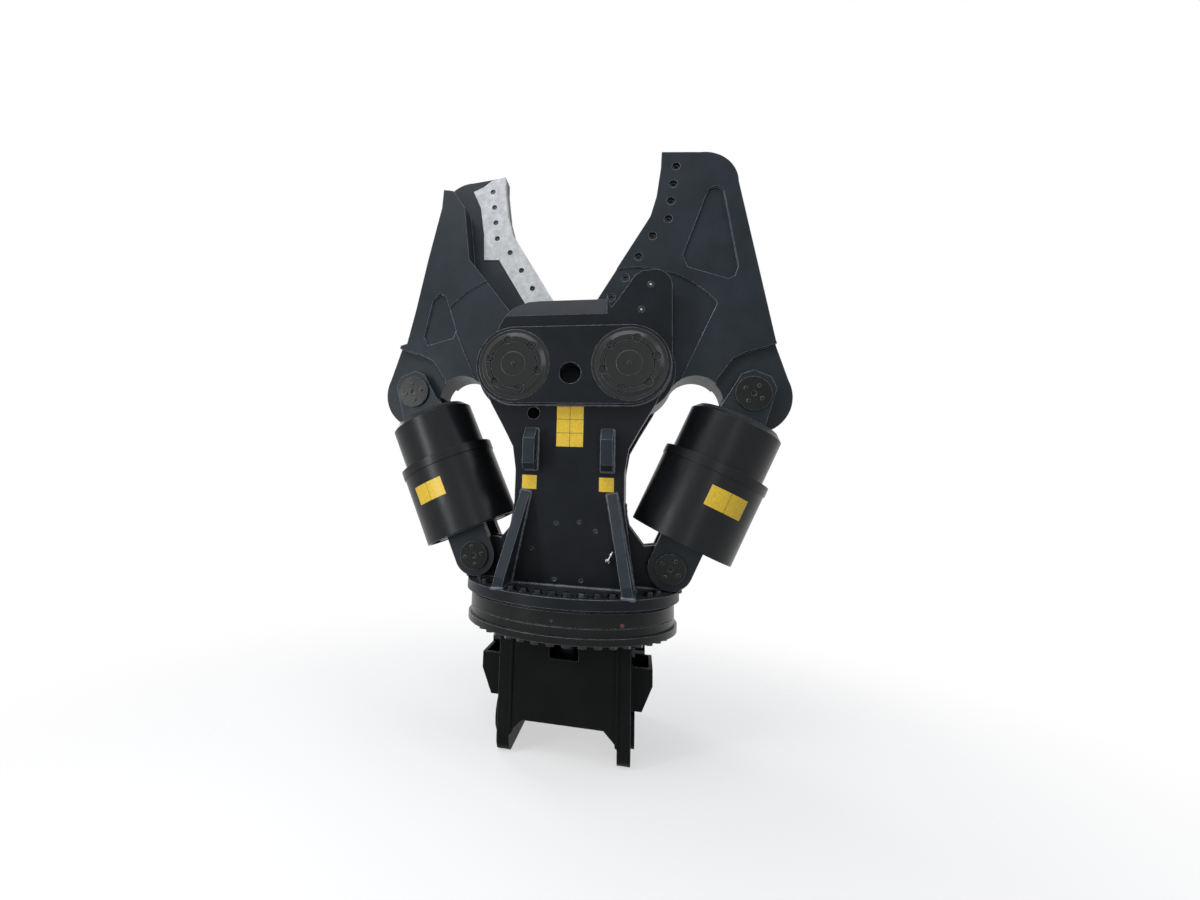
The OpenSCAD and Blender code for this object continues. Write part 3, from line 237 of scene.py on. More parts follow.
# %% [markdown]
# The cutting blades are flame-cut from wear-resistant plate, ground on their faces and
# left bare, so they are a pale mottled grey with cloudy stains and faint grinding
# lines. It is a metal, but its grey oxide scatters light in all directions, so it is
# only partly metallic and its roughness is high. Grinding lines are drawn 1.5 mm apart,
# coarser than real, so that they show. Turned steel and bearing bronze are clean, so
# the same recipe makes them fully metallic, with turning lines 1 mm apart.

# %% Bare steel
CLOUD = 40 * MM
SPECK = 6 * MM
GRINDING_TURN = math.radians(30)
STEEL_EDGE = 2 * MM

def bare_steel(name, dark, mid, light, roughness, line_gap, metallic):
    """Ground steel with clouds, stains and grinding lines."""
    material, tree, shader = new_material(name)
    place = add(tree, "ShaderNodeTexCoord").outputs["Object"]
    clouds = add(tree, "ShaderNodeTexNoise", Vector=place, Scale=1 / CLOUD, Detail=8.0, Roughness=0.72)
    shadow = add(tree, "ShaderNodeMapRange", Value=clouds.outputs["Fac"], From_Min=0.28, From_Max=0.48)
    darker = add(tree, "ShaderNodeMix", COLOUR_MIX, Factor=shadow.outputs["Result"], i6=linear(dark),
                 i7=linear(mid))
    bright = add(tree, "ShaderNodeMapRange", Value=clouds.outputs["Fac"], From_Min=0.50, From_Max=0.68)
    clouded = add(tree, "ShaderNodeMix", COLOUR_MIX, Factor=bright.outputs["Result"],
                  i6=darker.outputs[MIXED], i7=linear(light))
    specks = add(tree, "ShaderNodeTexNoise", Vector=place, Scale=1 / SPECK, Detail=5.0, Roughness=0.8)
    stain = add(tree, "ShaderNodeMapRange", Value=specks.outputs["Fac"], From_Min=0.50, From_Max=0.34,
                To_Max=0.45)
    stained = add(tree, "ShaderNodeMix", COLOUR_MIX, Factor=stain.outputs["Result"],
                  i6=clouded.outputs[MIXED], i7=linear(dark))
    tree.links.new(stained.outputs[MIXED], shader.inputs["Base Color"])
    brushed = add(tree, "ShaderNodeMapping", Vector=place, Rotation=(0, GRINDING_TURN, 0),
                  Scale=(1 / line_gap, 1 / line_gap, 0.03 / line_gap))
    lines = add(tree, "ShaderNodeTexNoise", Vector=brushed.outputs["Vector"], Scale=1.0, Detail=3.0)
    rough = add(tree, "ShaderNodeMapRange", Value=lines.outputs["Fac"], From_Min=0.3, From_Max=0.7,
                To_Min=roughness - 0.08, To_Max=roughness + 0.12)
    tree.links.new(rough.outputs["Result"], shader.inputs["Roughness"])
    shader.inputs["Metallic"].default_value = metallic
    rounded = edge_finder(tree, STEEL_EDGE)[0]
    bump = add(tree, "ShaderNodeBump", Height=lines.outputs["Fac"], Strength=0.25, Distance=0.3 * MM,
               Normal=rounded)
    tree.links.new(bump.outputs["Normal"], shader.inputs["Normal"])
    return material

blade_steel = bare_steel("bare_blade_steel", "#8b8c8c", "#adaeae", "#c6c7c7", 0.58, 1.5 * MM, 0.35)
turned_steel = bare_steel("turned_steel", "#6f7174", "#8c8f92", "#a4a7aa", 0.32, 1.0 * MM, 1.0)
bronze_metal = bare_steel("bearing_bronze", "#7d5d2c", "#9a7a45", "#b28f55", 0.38, 1.0 * MM, 1.0)
print("metals ready")

# %% [markdown]
# Bolts are black-oxide steel, which keeps a metal's shine under its dark coat and is
# glossier than the enamel round it. Grease nipples, guide studs and the elbow are
# zinc-plated. The cap and the plug are red plastic, so that a mechanic finds them.
# Stickers are yellow vinyl film on a black backing. Each is nearly plain, so one recipe
# with a fine grain does for all of them.

# %% Small finishes
SMALL_EDGE = 1.5 * MM

def fine_grained(name, colour, roughness, grain, metallic=0.0):
    """A plain finish with a fine grain, for bolts, caps and film."""
    material, tree, shader = new_material(name)
    place = add(tree, "ShaderNodeTexCoord").outputs["Object"]
    speckle = add(tree, "ShaderNodeTexNoise", Vector=place, Scale=1 / grain, Detail=3.0)
    shade = add(tree, "ShaderNodeMapRange", Value=speckle.outputs["Fac"], From_Min=0.3, From_Max=0.7,
                To_Min=0.86, To_Max=1.10)
    tinted = add(tree, "ShaderNodeVectorMath", {"operation": "SCALE"}, i0=linear(colour)[:3],
                 Scale=shade.outputs["Result"])
    tree.links.new(tinted.outputs["Vector"], shader.inputs["Base Color"])
    rough = add(tree, "ShaderNodeMapRange", Value=speckle.outputs["Fac"], From_Min=0.3, From_Max=0.7,
                To_Min=roughness - 0.04, To_Max=roughness + 0.06)
    tree.links.new(rough.outputs["Result"], shader.inputs["Roughness"])
    shader.inputs["Metallic"].default_value = metallic
    rounded = edge_finder(tree, SMALL_EDGE)[0]
    bump = add(tree, "ShaderNodeBump", Height=speckle.outputs["Fac"], Strength=0.15, Distance=0.2 * MM,
               Normal=rounded)
    tree.links.new(bump.outputs["Normal"], shader.inputs["Normal"])
    return material

black_oxide = fine_grained("black_oxide_steel", "#2c2e31", 0.24, 2 * MM, metallic=0.8)
zinc_plate = fine_grained("zinc_plated_steel", "#a9abad", 0.30, 2 * MM, metallic=1.0)
red_plastic = fine_grained("red_cap_plastic", "#641716", 0.35, 2 * MM)
yellow_film = fine_grained("yellow_vinyl_film", "#edc534", 0.40, 8 * MM)
black_film = fine_grained("black_vinyl_film", "#141414", 0.45, 8 * MM)
print("small finishes ready")

# %% [markdown]
# Every CAD node now gets the finish of the real piece, and the start of its name says
# which: blades are bare steel, bolts black oxide, pistons and balls turned steel, bushes
# bronze, guard sleeves glossy tube, races and pins turned and painted. The ribs, lifting
# lugs, rods and barrels share the castings' paler enamel, which is partly painted sky
# light, and on the ribs and lugs wholly so. The bracket and port guards get the darker
# enamel with painted shade, and what no list names has the enamel of the frame's plates.

# %% Dress the CAD nodes
FINISHES = [
    (("tip_blade", "throat_blade"), blade_steel),
    (("jaw_guides", "port_fittings", "blade_bolts", "retainer_bolts", "base_flange_bolts",
      "mount_flange_bolts", "swivel_core"), black_oxide),
    (("piston", "gland", "slew_balls", "slew_pinion"), turned_steel),
    (("hub_bush", "lug_bushes"), bronze_metal),
    (("lower_sleeve", "upper_sleeve"), sleeve_enamel),
    (("inner_race", "outer_race", "mount_flange", "base_pin", "rod_pin"), ring_enamel),
    (("pivot_pin", "pin_retainers"), pin_enamel),
    # Ribs and lifting lugs take the paler enamel as painted sky light on them.
    (("jaw_right", "jaw_left", "rod_", "barrel", "gussets", "lifting_lugs"), castings_enamel_with_sky_light),
    # The bracket and port guards get the darker enamel, partly as painted shade.
    (("mount_", "port_guards"), bracket_enamel_with_painted_shade),
]

def finish_of(node):
    """The finish of the first list above that has the start of the node's name."""
    for starts, finish in FINISHES:
        if node.startswith(starts):
            return finish
    return frame_enamel

for name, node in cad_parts.items():
    node.data.materials.clear()
    node.data.materials.append(finish_of(name))
print("dressed", len(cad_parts), "nodes")

# %% [markdown]
# Where one plate stands on another, the two are welded all round. We let the model say
# where that is: the faces of a node that lie in the other plate's surface are where it
# stands, and the rim of those faces is the seam. Bores on that surface have rims too,
# so a rule says which part of the rim to keep.

# %% Finding the seams
FLAT = 0.2 * MM
SAME_POINT = 0.05 * MM
STRAIGHT_SHARE = 0.98
ROUND_SHARE = 0.95
EAR_PLATE = 48 * MM
hub_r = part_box("front_hub_plate")[1].z - pivot_z

def merged_copy(node):
    """A CAD node's mesh as one skin; the caller frees it."""
    skin = bmesh.new()
    skin.from_mesh(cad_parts[node].data)
    bmesh.ops.remove_doubles(skin, verts=skin.verts, dist=SAME_POINT)
    return skin

def seams_of(node, axis, level, keep=lambda point: True):
    """The rim of the node's faces that lie at this level of this axis, as pairs of points."""
    skin = merged_copy(node)
    standing = {f for f in skin.faces if all(abs(v.co[axis] - level) < FLAT for v in f.verts)}
    rim = [[v.co.copy() for v in e.verts] for e in skin.edges
           if sum(f in standing for f in e.link_faces) == 1]
    skin.free()
    return [pair for pair in rim if keep((pair[0] + pair[1]) / 2)]

def clear_of_bores(point):
    """True on the hub plates' outer rim, false on the rims of their bores."""
    rise = abs(point.z - pivot_z)
    if abs(point.x) < pivot_half:
        return rise > hub_r * STRAIGHT_SHARE
    return Vector((abs(point.x) - pivot_half, rise)).length > hub_r * ROUND_SHARE

waist_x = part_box("side_webs")[1].x
bracket_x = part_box("mount_front_panel")[1].x
guard_x = bracket_x + EAR_PLATE
seams = {
    "frame": seams_of("front_hub_plate", Y, -plate_face, clear_of_bores)
    + seams_of("rear_hub_plate", Y, plate_face, clear_of_bores)
    + [pair for node in ("gussets", "lifting_lugs") for level in (-plate_face, plate_face)
       for pair in seams_of(node, Y, level)]
    + [pair for node in ("front_plate", "rear_plate", "gussets", "side_webs", "cylinder_lugs")
       for pair in seams_of(node, Z, deck_z)]
    + [pair for side in (-waist_x, waist_x) for pair in seams_of("cylinder_lugs", X, side)],
    "mount": [pair for node in ("mount_ear_left", "mount_ear_right", "mount_front_panel", "mount_rear_panel")
              for pair in seams_of(node, Z, bracket_top_z)]
    + [pair for side in (-bracket_x, bracket_x) for node in ("mount_front_panel", "mount_rear_panel")
       for pair in seams_of(node, X, side)]
    + [pair for side in (-guard_x, guard_x) for pair in seams_of("port_guards", X, side)],
}
for body, pairs in seams.items():
    print(body, "has", round(sum((a - b).length for a, b in pairs), 2), "m of weld")

# %% [markdown]
# A weld bead is a rope of small overlapping pools, one for each beat of the welder's
# hand. It follows a path and repeats, which is what Geometry Nodes are good at: the
# seam becomes a curve with a point every two millimetres, and a small circle is swept
# along it, whose scale swells and shrinks with the distance travelled. The middle of
# the bead lies in the corner of the seam, so only its outer part shows.

# %% The weld bead as a node tree
BEAD_SIDES = 8
WANDER = 25 * MM

def weld_tree(finish):
    """Geometry Nodes: rippled beads along the edges of a wire mesh."""
    tree = bpy.data.node_groups.new("weld_bead", "GeometryNodeTree")
    face = tree.interface
    face.new_socket("Seams", in_out="INPUT", socket_type="NodeSocketGeometry")
    sizes = {name: face.new_socket(name, in_out="INPUT", socket_type="NodeSocketFloat")
             for name in ("Bead Radius", "Ripple Length", "Point Gap")}
    face.new_socket("Beads", in_out="OUTPUT", socket_type="NodeSocketGeometry")
    given = add(tree, "NodeGroupInput")
    curve = add(tree, "GeometryNodeMeshToCurve", Mesh=given.outputs["Seams"])
    points = add(tree, "GeometryNodeResampleCurve", {"mode": "LENGTH"}, Curve=curve.outputs["Curve"],
                 Length=given.outputs["Point Gap"])
    travelled = add(tree, "GeometryNodeSplineParameter").outputs["Length"]
    beats = add(tree, "ShaderNodeMath", {"operation": "DIVIDE"}, i0=travelled,
                i1=given.outputs["Ripple Length"])
    beat = add(tree, "ShaderNodeMath", {"operation": "FRACT"}, i0=beats.outputs[0])
    wander = add(tree, "ShaderNodeTexNoise", Scale=1 / WANDER, Detail=2.0)
    swell = add(tree, "ShaderNodeMapRange", Value=beat.outputs[0], To_Min=1.06, To_Max=0.84)
    drift = add(tree, "ShaderNodeMapRange", Value=wander.outputs["Fac"], From_Min=0.3, From_Max=0.7,
                To_Min=0.85, To_Max=1.2)
    shape = add(tree, "ShaderNodeMath", {"operation": "MULTIPLY"}, i0=swell.outputs["Result"],
                i1=drift.outputs["Result"])
    radius = add(tree, "ShaderNodeMath", {"operation": "MULTIPLY"}, i0=shape.outputs[0],
                 i1=given.outputs["Bead Radius"])
    ring = add(tree, "GeometryNodeCurvePrimitiveCircle", {"mode": "RADIUS"}, Resolution=BEAD_SIDES,
               Radius=1.0)
    swept = add(tree, "GeometryNodeCurveToMesh", Curve=points.outputs["Curve"],
                Profile_Curve=ring.outputs["Curve"], Scale=radius.outputs[0], Fill_Caps=True)
    smooth = add(tree, "GeometryNodeSetShadeSmooth", Geometry=swept.outputs["Mesh"], Shade_Smooth=True)
    real = add(tree, "GeometryNodeRealizeInstances", Geometry=smooth.outputs["Geometry"])
    painted = add(tree, "GeometryNodeSetMaterial", Geometry=real.outputs["Geometry"], Material=finish)
    add(tree, "NodeGroupOutput", Beads=painted.outputs["Geometry"])
    return tree, {name: socket.identifier for name, socket in sizes.items()}

# %% [markdown]
# A modifier's result is only a preview until it is turned into a plain mesh. That is
# done once for each piece, because the export and the poses need real faces.

# %% Turning modifiers into mesh
def new_piece(name, mesh):
    """An object at the origin that holds this mesh."""
    piece = bpy.data.objects.new(name, mesh)
    bpy.context.scene.collection.objects.link(piece)
    return piece

def make_solid(piece):
    """Replaces the piece's mesh by what its modifiers make of it."""
    graph = bpy.context.evaluated_depsgraph_get()
    mesh = bpy.data.meshes.new_from_object(piece.evaluated_get(graph))
    piece.modifiers.clear()
    piece.data = mesh

# %% [markdown]
# A piece rides on one body, so each body gets a wire mesh of its own seams, and the
# tree turns that wire into beads about 16 mm thick. On the frame they are rubbed paint
# with a painted glint, and on the bracket they are as dull as the plates round them,
# with the same painted shade.

# %% Weld beads
BEAD_SIZES = {"Bead Radius": 8 * MM, "Ripple Length": 6 * MM, "Point Gap": 2 * MM}
BEAD_FINISH = {"frame": weld_paint_with_painted_glint, "mount": bracket_enamel_with_painted_shade}

def weld_beads(body, pairs):
    """One piece with all weld beads of a body, in that body's finish."""
    bead_tree, bead_inputs = weld_tree(BEAD_FINISH[body])
    wire = bmesh.new()
    for a, b in pairs:
        wire.edges.new((wire.verts.new(a), wire.verts.new(b)))
    bmesh.ops.remove_doubles(wire, verts=wire.verts, dist=SAME_POINT)
    mesh = bpy.data.meshes.new("weld_beads_" + body)
    wire.to_mesh(mesh)
    wire.free()
    piece = new_piece("weld_beads_" + body, mesh)
    modifier = piece.modifiers.new("beads", "NODES")
    modifier.node_group = bead_tree
    for name, size in BEAD_SIZES.items():
        modifier[bead_inputs[name]] = size
    make_solid(piece)
    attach(piece, body)
    print(piece.name, "has", len(piece.data.polygons), "faces")

for body, pairs in seams.items():
    weld_beads(body, pairs)

# %% [markdown]
# Many small fittings are turned on a lathe: a profile spun round an axis. One function
# makes them all, from a profile of (radius, height) points, a foot and a direction. It
# lays a ring of points for each profile point and joins neighbouring rings by faces.
# Profiles are drawn in millimetres, and a second function turns them into metres.

# %% Turned pieces
LATHE_STEPS = 24
SMOOTH_BELOW = 35

def scaled(profile):
    """A profile drawn in millimetres, in metres."""
    return [(radius * MM, height * MM) for radius, height in profile]

def spun(skin, profile, foot, direction, steps=LATHE_STEPS):
    """Adds a lathe-turned body to a skin, standing on foot and pointing along direction."""
    turn = Vector(direction).to_track_quat("Z", "Y").to_matrix().to_4x4()
    place = Matrix.Translation(foot) @ turn
    rings = []
    for radius, height in profile:
        if radius == 0:
            rings.append([skin.verts.new(place @ Vector((0, 0, height)))] * steps)
        else:
            rings.append([skin.verts.new(place @ Vector((radius * math.cos(a), radius * math.sin(a), height)))
                          for a in (2 * math.pi * k / steps for k in range(steps))])
    for low, high in zip(rings, rings[1:]):
        for k in range(steps):
            corners = [low[k], low[(k + 1) % steps], high[(k + 1) % steps], high[k]]
            corners = list(dict.fromkeys(corners))
            if len(corners) > 2:
                skin.faces.new(corners)

def finished_piece(name, skin, finish, body, smooth_angle=SMOOTH_BELOW):
    """Turns a skin into a piece whose corners above smooth_angle degrees are sharp; it rides on body."""
    bmesh.ops.recalc_face_normals(skin, faces=skin.faces)
    limit = math.radians(smooth_angle)
    for face in skin.faces:
        face.smooth = True
    for edge in skin.edges:
        if len(edge.link_faces) == 2 and edge.calc_face_angle(0) > limit:
            edge.smooth = False
    mesh = bpy.data.meshes.new(name)
    skin.to_mesh(mesh)
    skin.free()
    mesh.materials.append(finish)
    piece = new_piece(name, mesh)
    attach(piece, body)
    print(name, "has", len(mesh.polygons), "faces")

def loose_parts(node):
    """The middle of each separate solid of a CAD node."""
    skin = merged_copy(node)
    left, middles = set(skin.verts), []
    while left:
        todo, group = [left.pop()], []
        while todo:
            vert = todo.pop()
            group.append(vert.co.copy())
            for edge in vert.link_edges:
                other = edge.other_vert(vert)
                if other in left:
                    left.remove(other)
                    todo.append(other)
        low = Vector([min(p[k] for p in group) for k in range(3)])
        high = Vector([max(p[k] for p in group) for k in range(3)])
        middles.append((low + high) / 2)
    skin.free()
    return middles

# %% [markdown]
# Each main pin is greased through a nipple in the middle of its end: a collar, a waist
# and a small ball that the grease gun snaps on to, and a red cap on the right one in
# front. The CAD pins already end in a plain stub 14 mm high and 7 mm in radius. These
# pieces start at the stub's foot and are no wider and less high, so they lie inside it
# and don't show. To show, they would have to be larger than the stub.

# %% Grease nipples on the main pins
pin_face = -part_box("pivot_pin_right")[0].y
STUB_H = 14 * MM
stub_foot = pin_face - STUB_H
CAP_PROFILE = [(0, 0), (6, 0), (7, 1), (7, 3), (5.5, 5), (5, 8), (3.5, 9.5), (0, 10)]
NIPPLE_PROFILE = [(0, 0), (6, 0), (6, 3), (4.5, 4), (3, 5), (2.5, 8), (3.2, 9.5), (3.2, 11), (2, 12),
                  (0, 12.5)]

nipples = bmesh.new()
for x in (-pivot_half, pivot_half):
    for side in (-1, 1):
        if (x, side) != (pivot_half, -1):
            spun(nipples, scaled(NIPPLE_PROFILE), Vector((x, side * stub_foot, pivot_z)), (0, side, 0))
finished_piece("grease_nipples", nipples, zinc_plate, "frame")
cap = bmesh.new()
spun(cap, scaled(CAP_PROFILE), Vector((pivot_half, -stub_foot, pivot_z)), (0, -1, 0))
finished_piece("grease_cap", cap, red_plastic, "frame")

# %% [markdown]
# The frame plates carry more small things: a dark washer with a bright stud in it on
# each guide plug of the horns, and six flush screws that close tapped holes between the
# ribs. The back plate has the same six, as if the front one were turned half round.

# %% Guide washers and flush screws
WASHER_PROFILE = [(6, 0), (6, 1.6), (7, 2.2), (11, 2.2), (12.5, 1.4), (12.5, 0)]
STUD_PROFILE = [(0, -1), (4.5, -1), (4.5, 1.2), (3.8, 1.8), (0, 1.8)]
SCREW_PROFILE = [(0, -2), (11, -2), (11, 0.6), (10, 1.2), (5, 1.2), (4, 0.2), (0, 0.2)]
# To the right of the middle as seen from the front, and above the pivots
SCREW_PLACES_MM = [(-44, -629), (46, -621), (-45, -842), (58, -840), (111, -651), (-140, -732)]

washers, studs, screws = bmesh.new(), bmesh.new(), bmesh.new()
for middle in loose_parts("jaw_guides"):
    side = math.copysign(1, middle.y)
    foot = Vector((middle.x, side * plate_face, middle.z))
    spun(washers, scaled(WASHER_PROFILE), foot, (0, side, 0))
    spun(studs, scaled(STUD_PROFILE), foot, (0, side, 0))
for side in (-1, 1):
    for x, rise in SCREW_PLACES_MM:
        foot = Vector((-side * x * MM, side * plate_face, pivot_z + rise * MM))
        spun(screws, scaled(SCREW_PROFILE), foot, (0, side, 0))
finished_piece("guide_washers", washers, black_oxide, "frame")
finished_piece("guide_studs", studs, zinc_plate, "frame")
finished_piece("flush_screws", screws, frame_enamel, "frame")

# %% [markdown]
# The elbow grease fitting beside the right rib is a short pipe with a bend. A curve
# with a round bevel makes a pipe in one step. The nut at its foot is a lathe profile
# with six steps, and the nipple at its end is one with the usual number.

# %% Elbow grease fitting
ELBOW_X = 156 * MM
ELBOW_RISE = -758 * MM
ELBOW_OUT = 26 * MM
ELBOW_UP = Vector((14, 0, 26)) * MM
PIPE_R = 4.5 * MM
PIPE_ROUNDNESS = 4
HEXAGON = 6
NUT_PROFILE = [(0, 0), (10, 0), (10, 8), (9, 9), (0, 9)]
ELBOW_NIPPLE_PROFILE = [(0, -5), (8, -5), (8, 5), (5, 6), (3.5, 10), (4.5, 12), (3, 14), (0, 14)]

def elbow_fitting():
    """The bent pipe with a hexagon nut at its foot and a collared ball nipple at its end."""
    foot = Vector((ELBOW_X, -plate_face, pivot_z + ELBOW_RISE))
    corner = foot + Vector((0, -ELBOW_OUT, 0))
    end = corner + ELBOW_UP
    path = bpy.data.curves.new("elbow_path", "CURVE")
    path.dimensions = "3D"
    path.bevel_depth = PIPE_R
    path.bevel_resolution = PIPE_ROUNDNESS
    line = path.splines.new("BEZIER")
    bends = (foot, corner, end)
    line.bezier_points.add(len(bends) - 1)
    for point, place in zip(line.bezier_points, bends):
        point.co = place
        point.handle_left_type = point.handle_right_type = "AUTO"
    pipe = new_piece("elbow_pipe", path)
    graph = bpy.context.evaluated_depsgraph_get()
    mesh = bpy.data.meshes.new_from_object(pipe.evaluated_get(graph))
    bpy.data.objects.remove(pipe)
    skin = bmesh.new()
    skin.from_mesh(mesh)
    spun(skin, scaled(NUT_PROFILE), foot, (0, -1, 0), steps=HEXAGON)
    spun(skin, scaled(ELBOW_NIPPLE_PROFILE), end, ELBOW_UP)
    finished_piece("elbow_fitting", skin, zinc_plate, "frame")

elbow_fitting()

# %% [markdown]
# The turning race has two small closures in its outer face: a red plug, and a dark
# stopper where its bearing is filled with grease. Both are lathe profiles that point
# straight out of the race, so a place is an angle round it and a height.

# %% Plugs in the turning race
race_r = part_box("outer_race")[1].x
PLUG_PROFILE = [(0, -3), (8, -3), (8, 1), (6, 2.5), (0, 3)]
PLUG_PLACE = {"turn": 32.0, "height": 530 * MM}
STOPPER_PROFILE = [(0, -3), (7, -3), (7, 0.8), (5, 1.2), (4, 0.6), (0, 0.6)]
STOPPER_PLACE = {"turn": -3.2, "height": 539 * MM}

def race_place(turn, height):
    """A point of the race's outer face, and the way out: degrees from the front to the right, and height."""
    angle = math.radians(turn)
    out = Vector((math.sin(angle), -math.cos(angle), 0))
    return out * race_r + Vector((0, 0, height)), out

plug = bmesh.new()
spun(plug, scaled(PLUG_PROFILE), *race_place(**PLUG_PLACE))
finished_piece("race_plug", plug, red_plastic, "frame")
stopper = bmesh.new()
spun(stopper, scaled(STOPPER_PROFILE), *race_place(**STOPPER_PLACE))
finished_piece("race_stopper", stopper, black_oxide, "frame")

# %% [markdown]
# A bolt head on a big flange sits on a hardened washer. There is one under every bolt
# on the deck, so a small node tree puts a copy of one washer on each point of a point
# cloud. The points are the middles of the CAD bolts, so a washer is never without one.

# %% Washers under the deck bolts
WASHER_OUT = 23 * MM
WASHER_THICK = 4 * MM
WASHER_SIDES = 28

def washer_tree(finish):
    """Geometry Nodes: a disc on every vertex of the input."""
    tree = bpy.data.node_groups.new("washer_rows", "GeometryNodeTree")
    face = tree.interface
    face.new_socket("Places", in_out="INPUT", socket_type="NodeSocketGeometry")
    sizes = {name: face.new_socket(name, in_out="INPUT", socket_type="NodeSocketFloat")
             for name in ("Washer Radius", "Washer Thickness")}
    face.new_socket("Washers", in_out="OUTPUT", socket_type="NodeSocketGeometry")
    given = add(tree, "NodeGroupInput")
    disc = add(tree, "GeometryNodeMeshCylinder", Vertices=WASHER_SIDES, Radius=given.outputs["Washer Radius"],
               Depth=given.outputs["Washer Thickness"])
    copies = add(tree, "GeometryNodeInstanceOnPoints", Points=given.outputs["Places"],
                 Instance=disc.outputs["Mesh"])
    real = add(tree, "GeometryNodeRealizeInstances", Geometry=copies.outputs["Instances"])
    coated = add(tree, "GeometryNodeSetMaterial", Geometry=real.outputs["Geometry"], Material=finish)
    add(tree, "NodeGroupOutput", Washers=coated.outputs["Geometry"])
    return tree, {name: socket.identifier for name, socket in sizes.items()}

def washers_on_deck():
    """One piece with the washers of all deck bolts."""
    mesh = bpy.data.meshes.new("deck_washers")
    places = [Vector((p.x, p.y, deck_z + WASHER_THICK / 2)) for p in loose_parts("base_flange_bolts")]
    mesh.from_pydata(places, [], [])
    piece = new_piece("deck_washers", mesh)
    tree, inputs = washer_tree(black_oxide)
    modifier = piece.modifiers.new("rows", "NODES")
    modifier.node_group = tree
    modifier[inputs["Washer Radius"]] = WASHER_OUT
    modifier[inputs["Washer Thickness"]] = WASHER_THICK
    make_solid(piece)
    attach(piece, "frame")
    print("washers:", len(places))

washers_on_deck()

# %% [markdown]
# Vinyl stickers are thin: a black backing with rounded corners, and plain yellow panels
# on it that leave a fine black line round and between them. Each is drawn on a flat
# sheet of width and height, and a function bends that sheet on to whatever it sticks
# to: a plate, or the round guard sleeve of a cylinder.

# %% Stickers
FILM = 0.35 * MM
LINE = 1.6 * MM
CORNER = 6 * MM
PANEL_CORNER = CORNER / 3
ARC_STEPS = 5
ROW_STEPS = 4
FILM_COLUMNS = 12
FILM_SMOOTH_BELOW = 50

def rounded_rows(width, height, corner):
    """Rows of a rounded rectangle from bottom to top: (half width, height of the row)."""
    arc = [math.pi / 2 * k / ARC_STEPS for k in range(ARC_STEPS + 1)]
    low = [(width / 2 - corner + corner * math.sin(a), corner - corner * math.cos(a)) for a in arc]
    inner = [(width / 2, corner + (height - 2 * corner) * k / ROW_STEPS) for k in range(1, ROW_STEPS)]
    return low + inner + [(half, height - rise) for half, rise in reversed(low)]

def rim_of(rows):
    """The rim of a grid of points, once round."""
    return rows[0] + [row[-1] for row in rows[1:]] + rows[-1][-2::-1] + [row[0] for row in rows[-2:0:-1]]

def film(skin, left, bottom, width, height, corner, lift, bend):
    """One sheet of film with its rim, lifted off the surface and bent on to it."""
    middle = left + width / 2
    sides = [2 * k / FILM_COLUMNS - 1 for k in range(FILM_COLUMNS + 1)]
    outline = rounded_rows(width, height, corner)
    grids = []
    for depth in (lift, 0.0):
        grids.append([[skin.verts.new(bend(middle + half * side, bottom + rise, depth)) for side in sides]
                      for half, rise in outline])
    for rows in grids:
        for row, above in zip(rows, rows[1:]):
            for k in range(FILM_COLUMNS):
                skin.faces.new((row[k], row[k + 1], above[k + 1], above[k]))
    rim_top, rim_low = [rim_of(rows) for rows in grids]
    for k in range(len(rim_top)):
        n = (k + 1) % len(rim_top)
        skin.faces.new((rim_top[k], rim_top[n], rim_low[n], rim_low[k]))

def sticker(name, body, width, height, columns, rows, bend):
    """A black backing and its yellow panels, as two pieces."""
    backing, panels = bmesh.new(), bmesh.new()
    film(backing, 0, 0, width, height, CORNER, FILM, bend)
    panel_w = (width - LINE * (columns + 1)) / columns
    panel_h = (height - LINE * (rows + 1)) / rows
    for c in range(columns):
        for r in range(rows):
            film(panels, LINE + c * (panel_w + LINE), LINE + r * (panel_h + LINE), panel_w, panel_h,
                 PANEL_CORNER, 2 * FILM, bend)
    finished_piece(name + "_backing", backing, black_film, body, smooth_angle=FILM_SMOOTH_BELOW)
    finished_piece(name + "_panels", panels, yellow_film, body, smooth_angle=FILM_SMOOTH_BELOW)

def on_plate(left, bottom):
    """A bend that lays a sheet on the front plate, from its lower left corner."""
    return lambda u, v, depth: Vector((left + u, -plate_face - depth, pivot_z + bottom + v))

# Width, height, columns, rows, then the left edge from the middle and the lower edge from the pivots
PLATE_STICKERS_MM = {
    "plate_sticker": (110, 167, 2, 3, -55, -328),
    "left_lug_sticker": (62, 58, 1, 1, -188, -500),
    "right_lug_sticker": (60, 58, 1, 1, 117, -500),
}
for name, (width, height, columns, rows, left, bottom) in PLATE_STICKERS_MM.items():
    sticker(name, "frame", width * MM, height * MM, columns, rows, on_plate(left * MM, bottom * MM))

# %% [markdown]
# The cylinder's axis leans, from the base pin to the pin in the jaw. A place on the
# sleeve is a distance along that axis and a distance round it, so the bend measures
# both from the middles of those two pins.

# %% Stickers on the guard sleeves
SLEEVE_R = 205 * MM
SLEEVE_COLUMNS = 2
SLEEVE_ROWS = 1
# Lower and upper edge along the axis, first edge round the sleeve from its front, and width
SLEEVE_STICKERS_MM = {"right": (275, 358, -3, 160), "left": (267, 347, -5, 148)}

def on_sleeve(side, start, around):
    """A bend that lays a sheet round a guard sleeve, width going round and height along it."""
    base, top = centre_of("base_pin_" + side), centre_of("rod_pin_" + side)
    along = Vector((top.x - base.x, 0, top.z - base.z)).normalized()
    outward = Vector((along.z, 0, -along.x)) * (1 if side == "right" else -1)
    front = Vector((0, -1, 0))

    def bend(u, v, depth):
        angle = (around + u) / SLEEVE_R
        radius = SLEEVE_R + depth
        return (Vector((base.x, 0, base.z)) + along * (start + v)
                + (front * math.cos(angle) + outward * math.sin(angle)) * radius)
    return bend

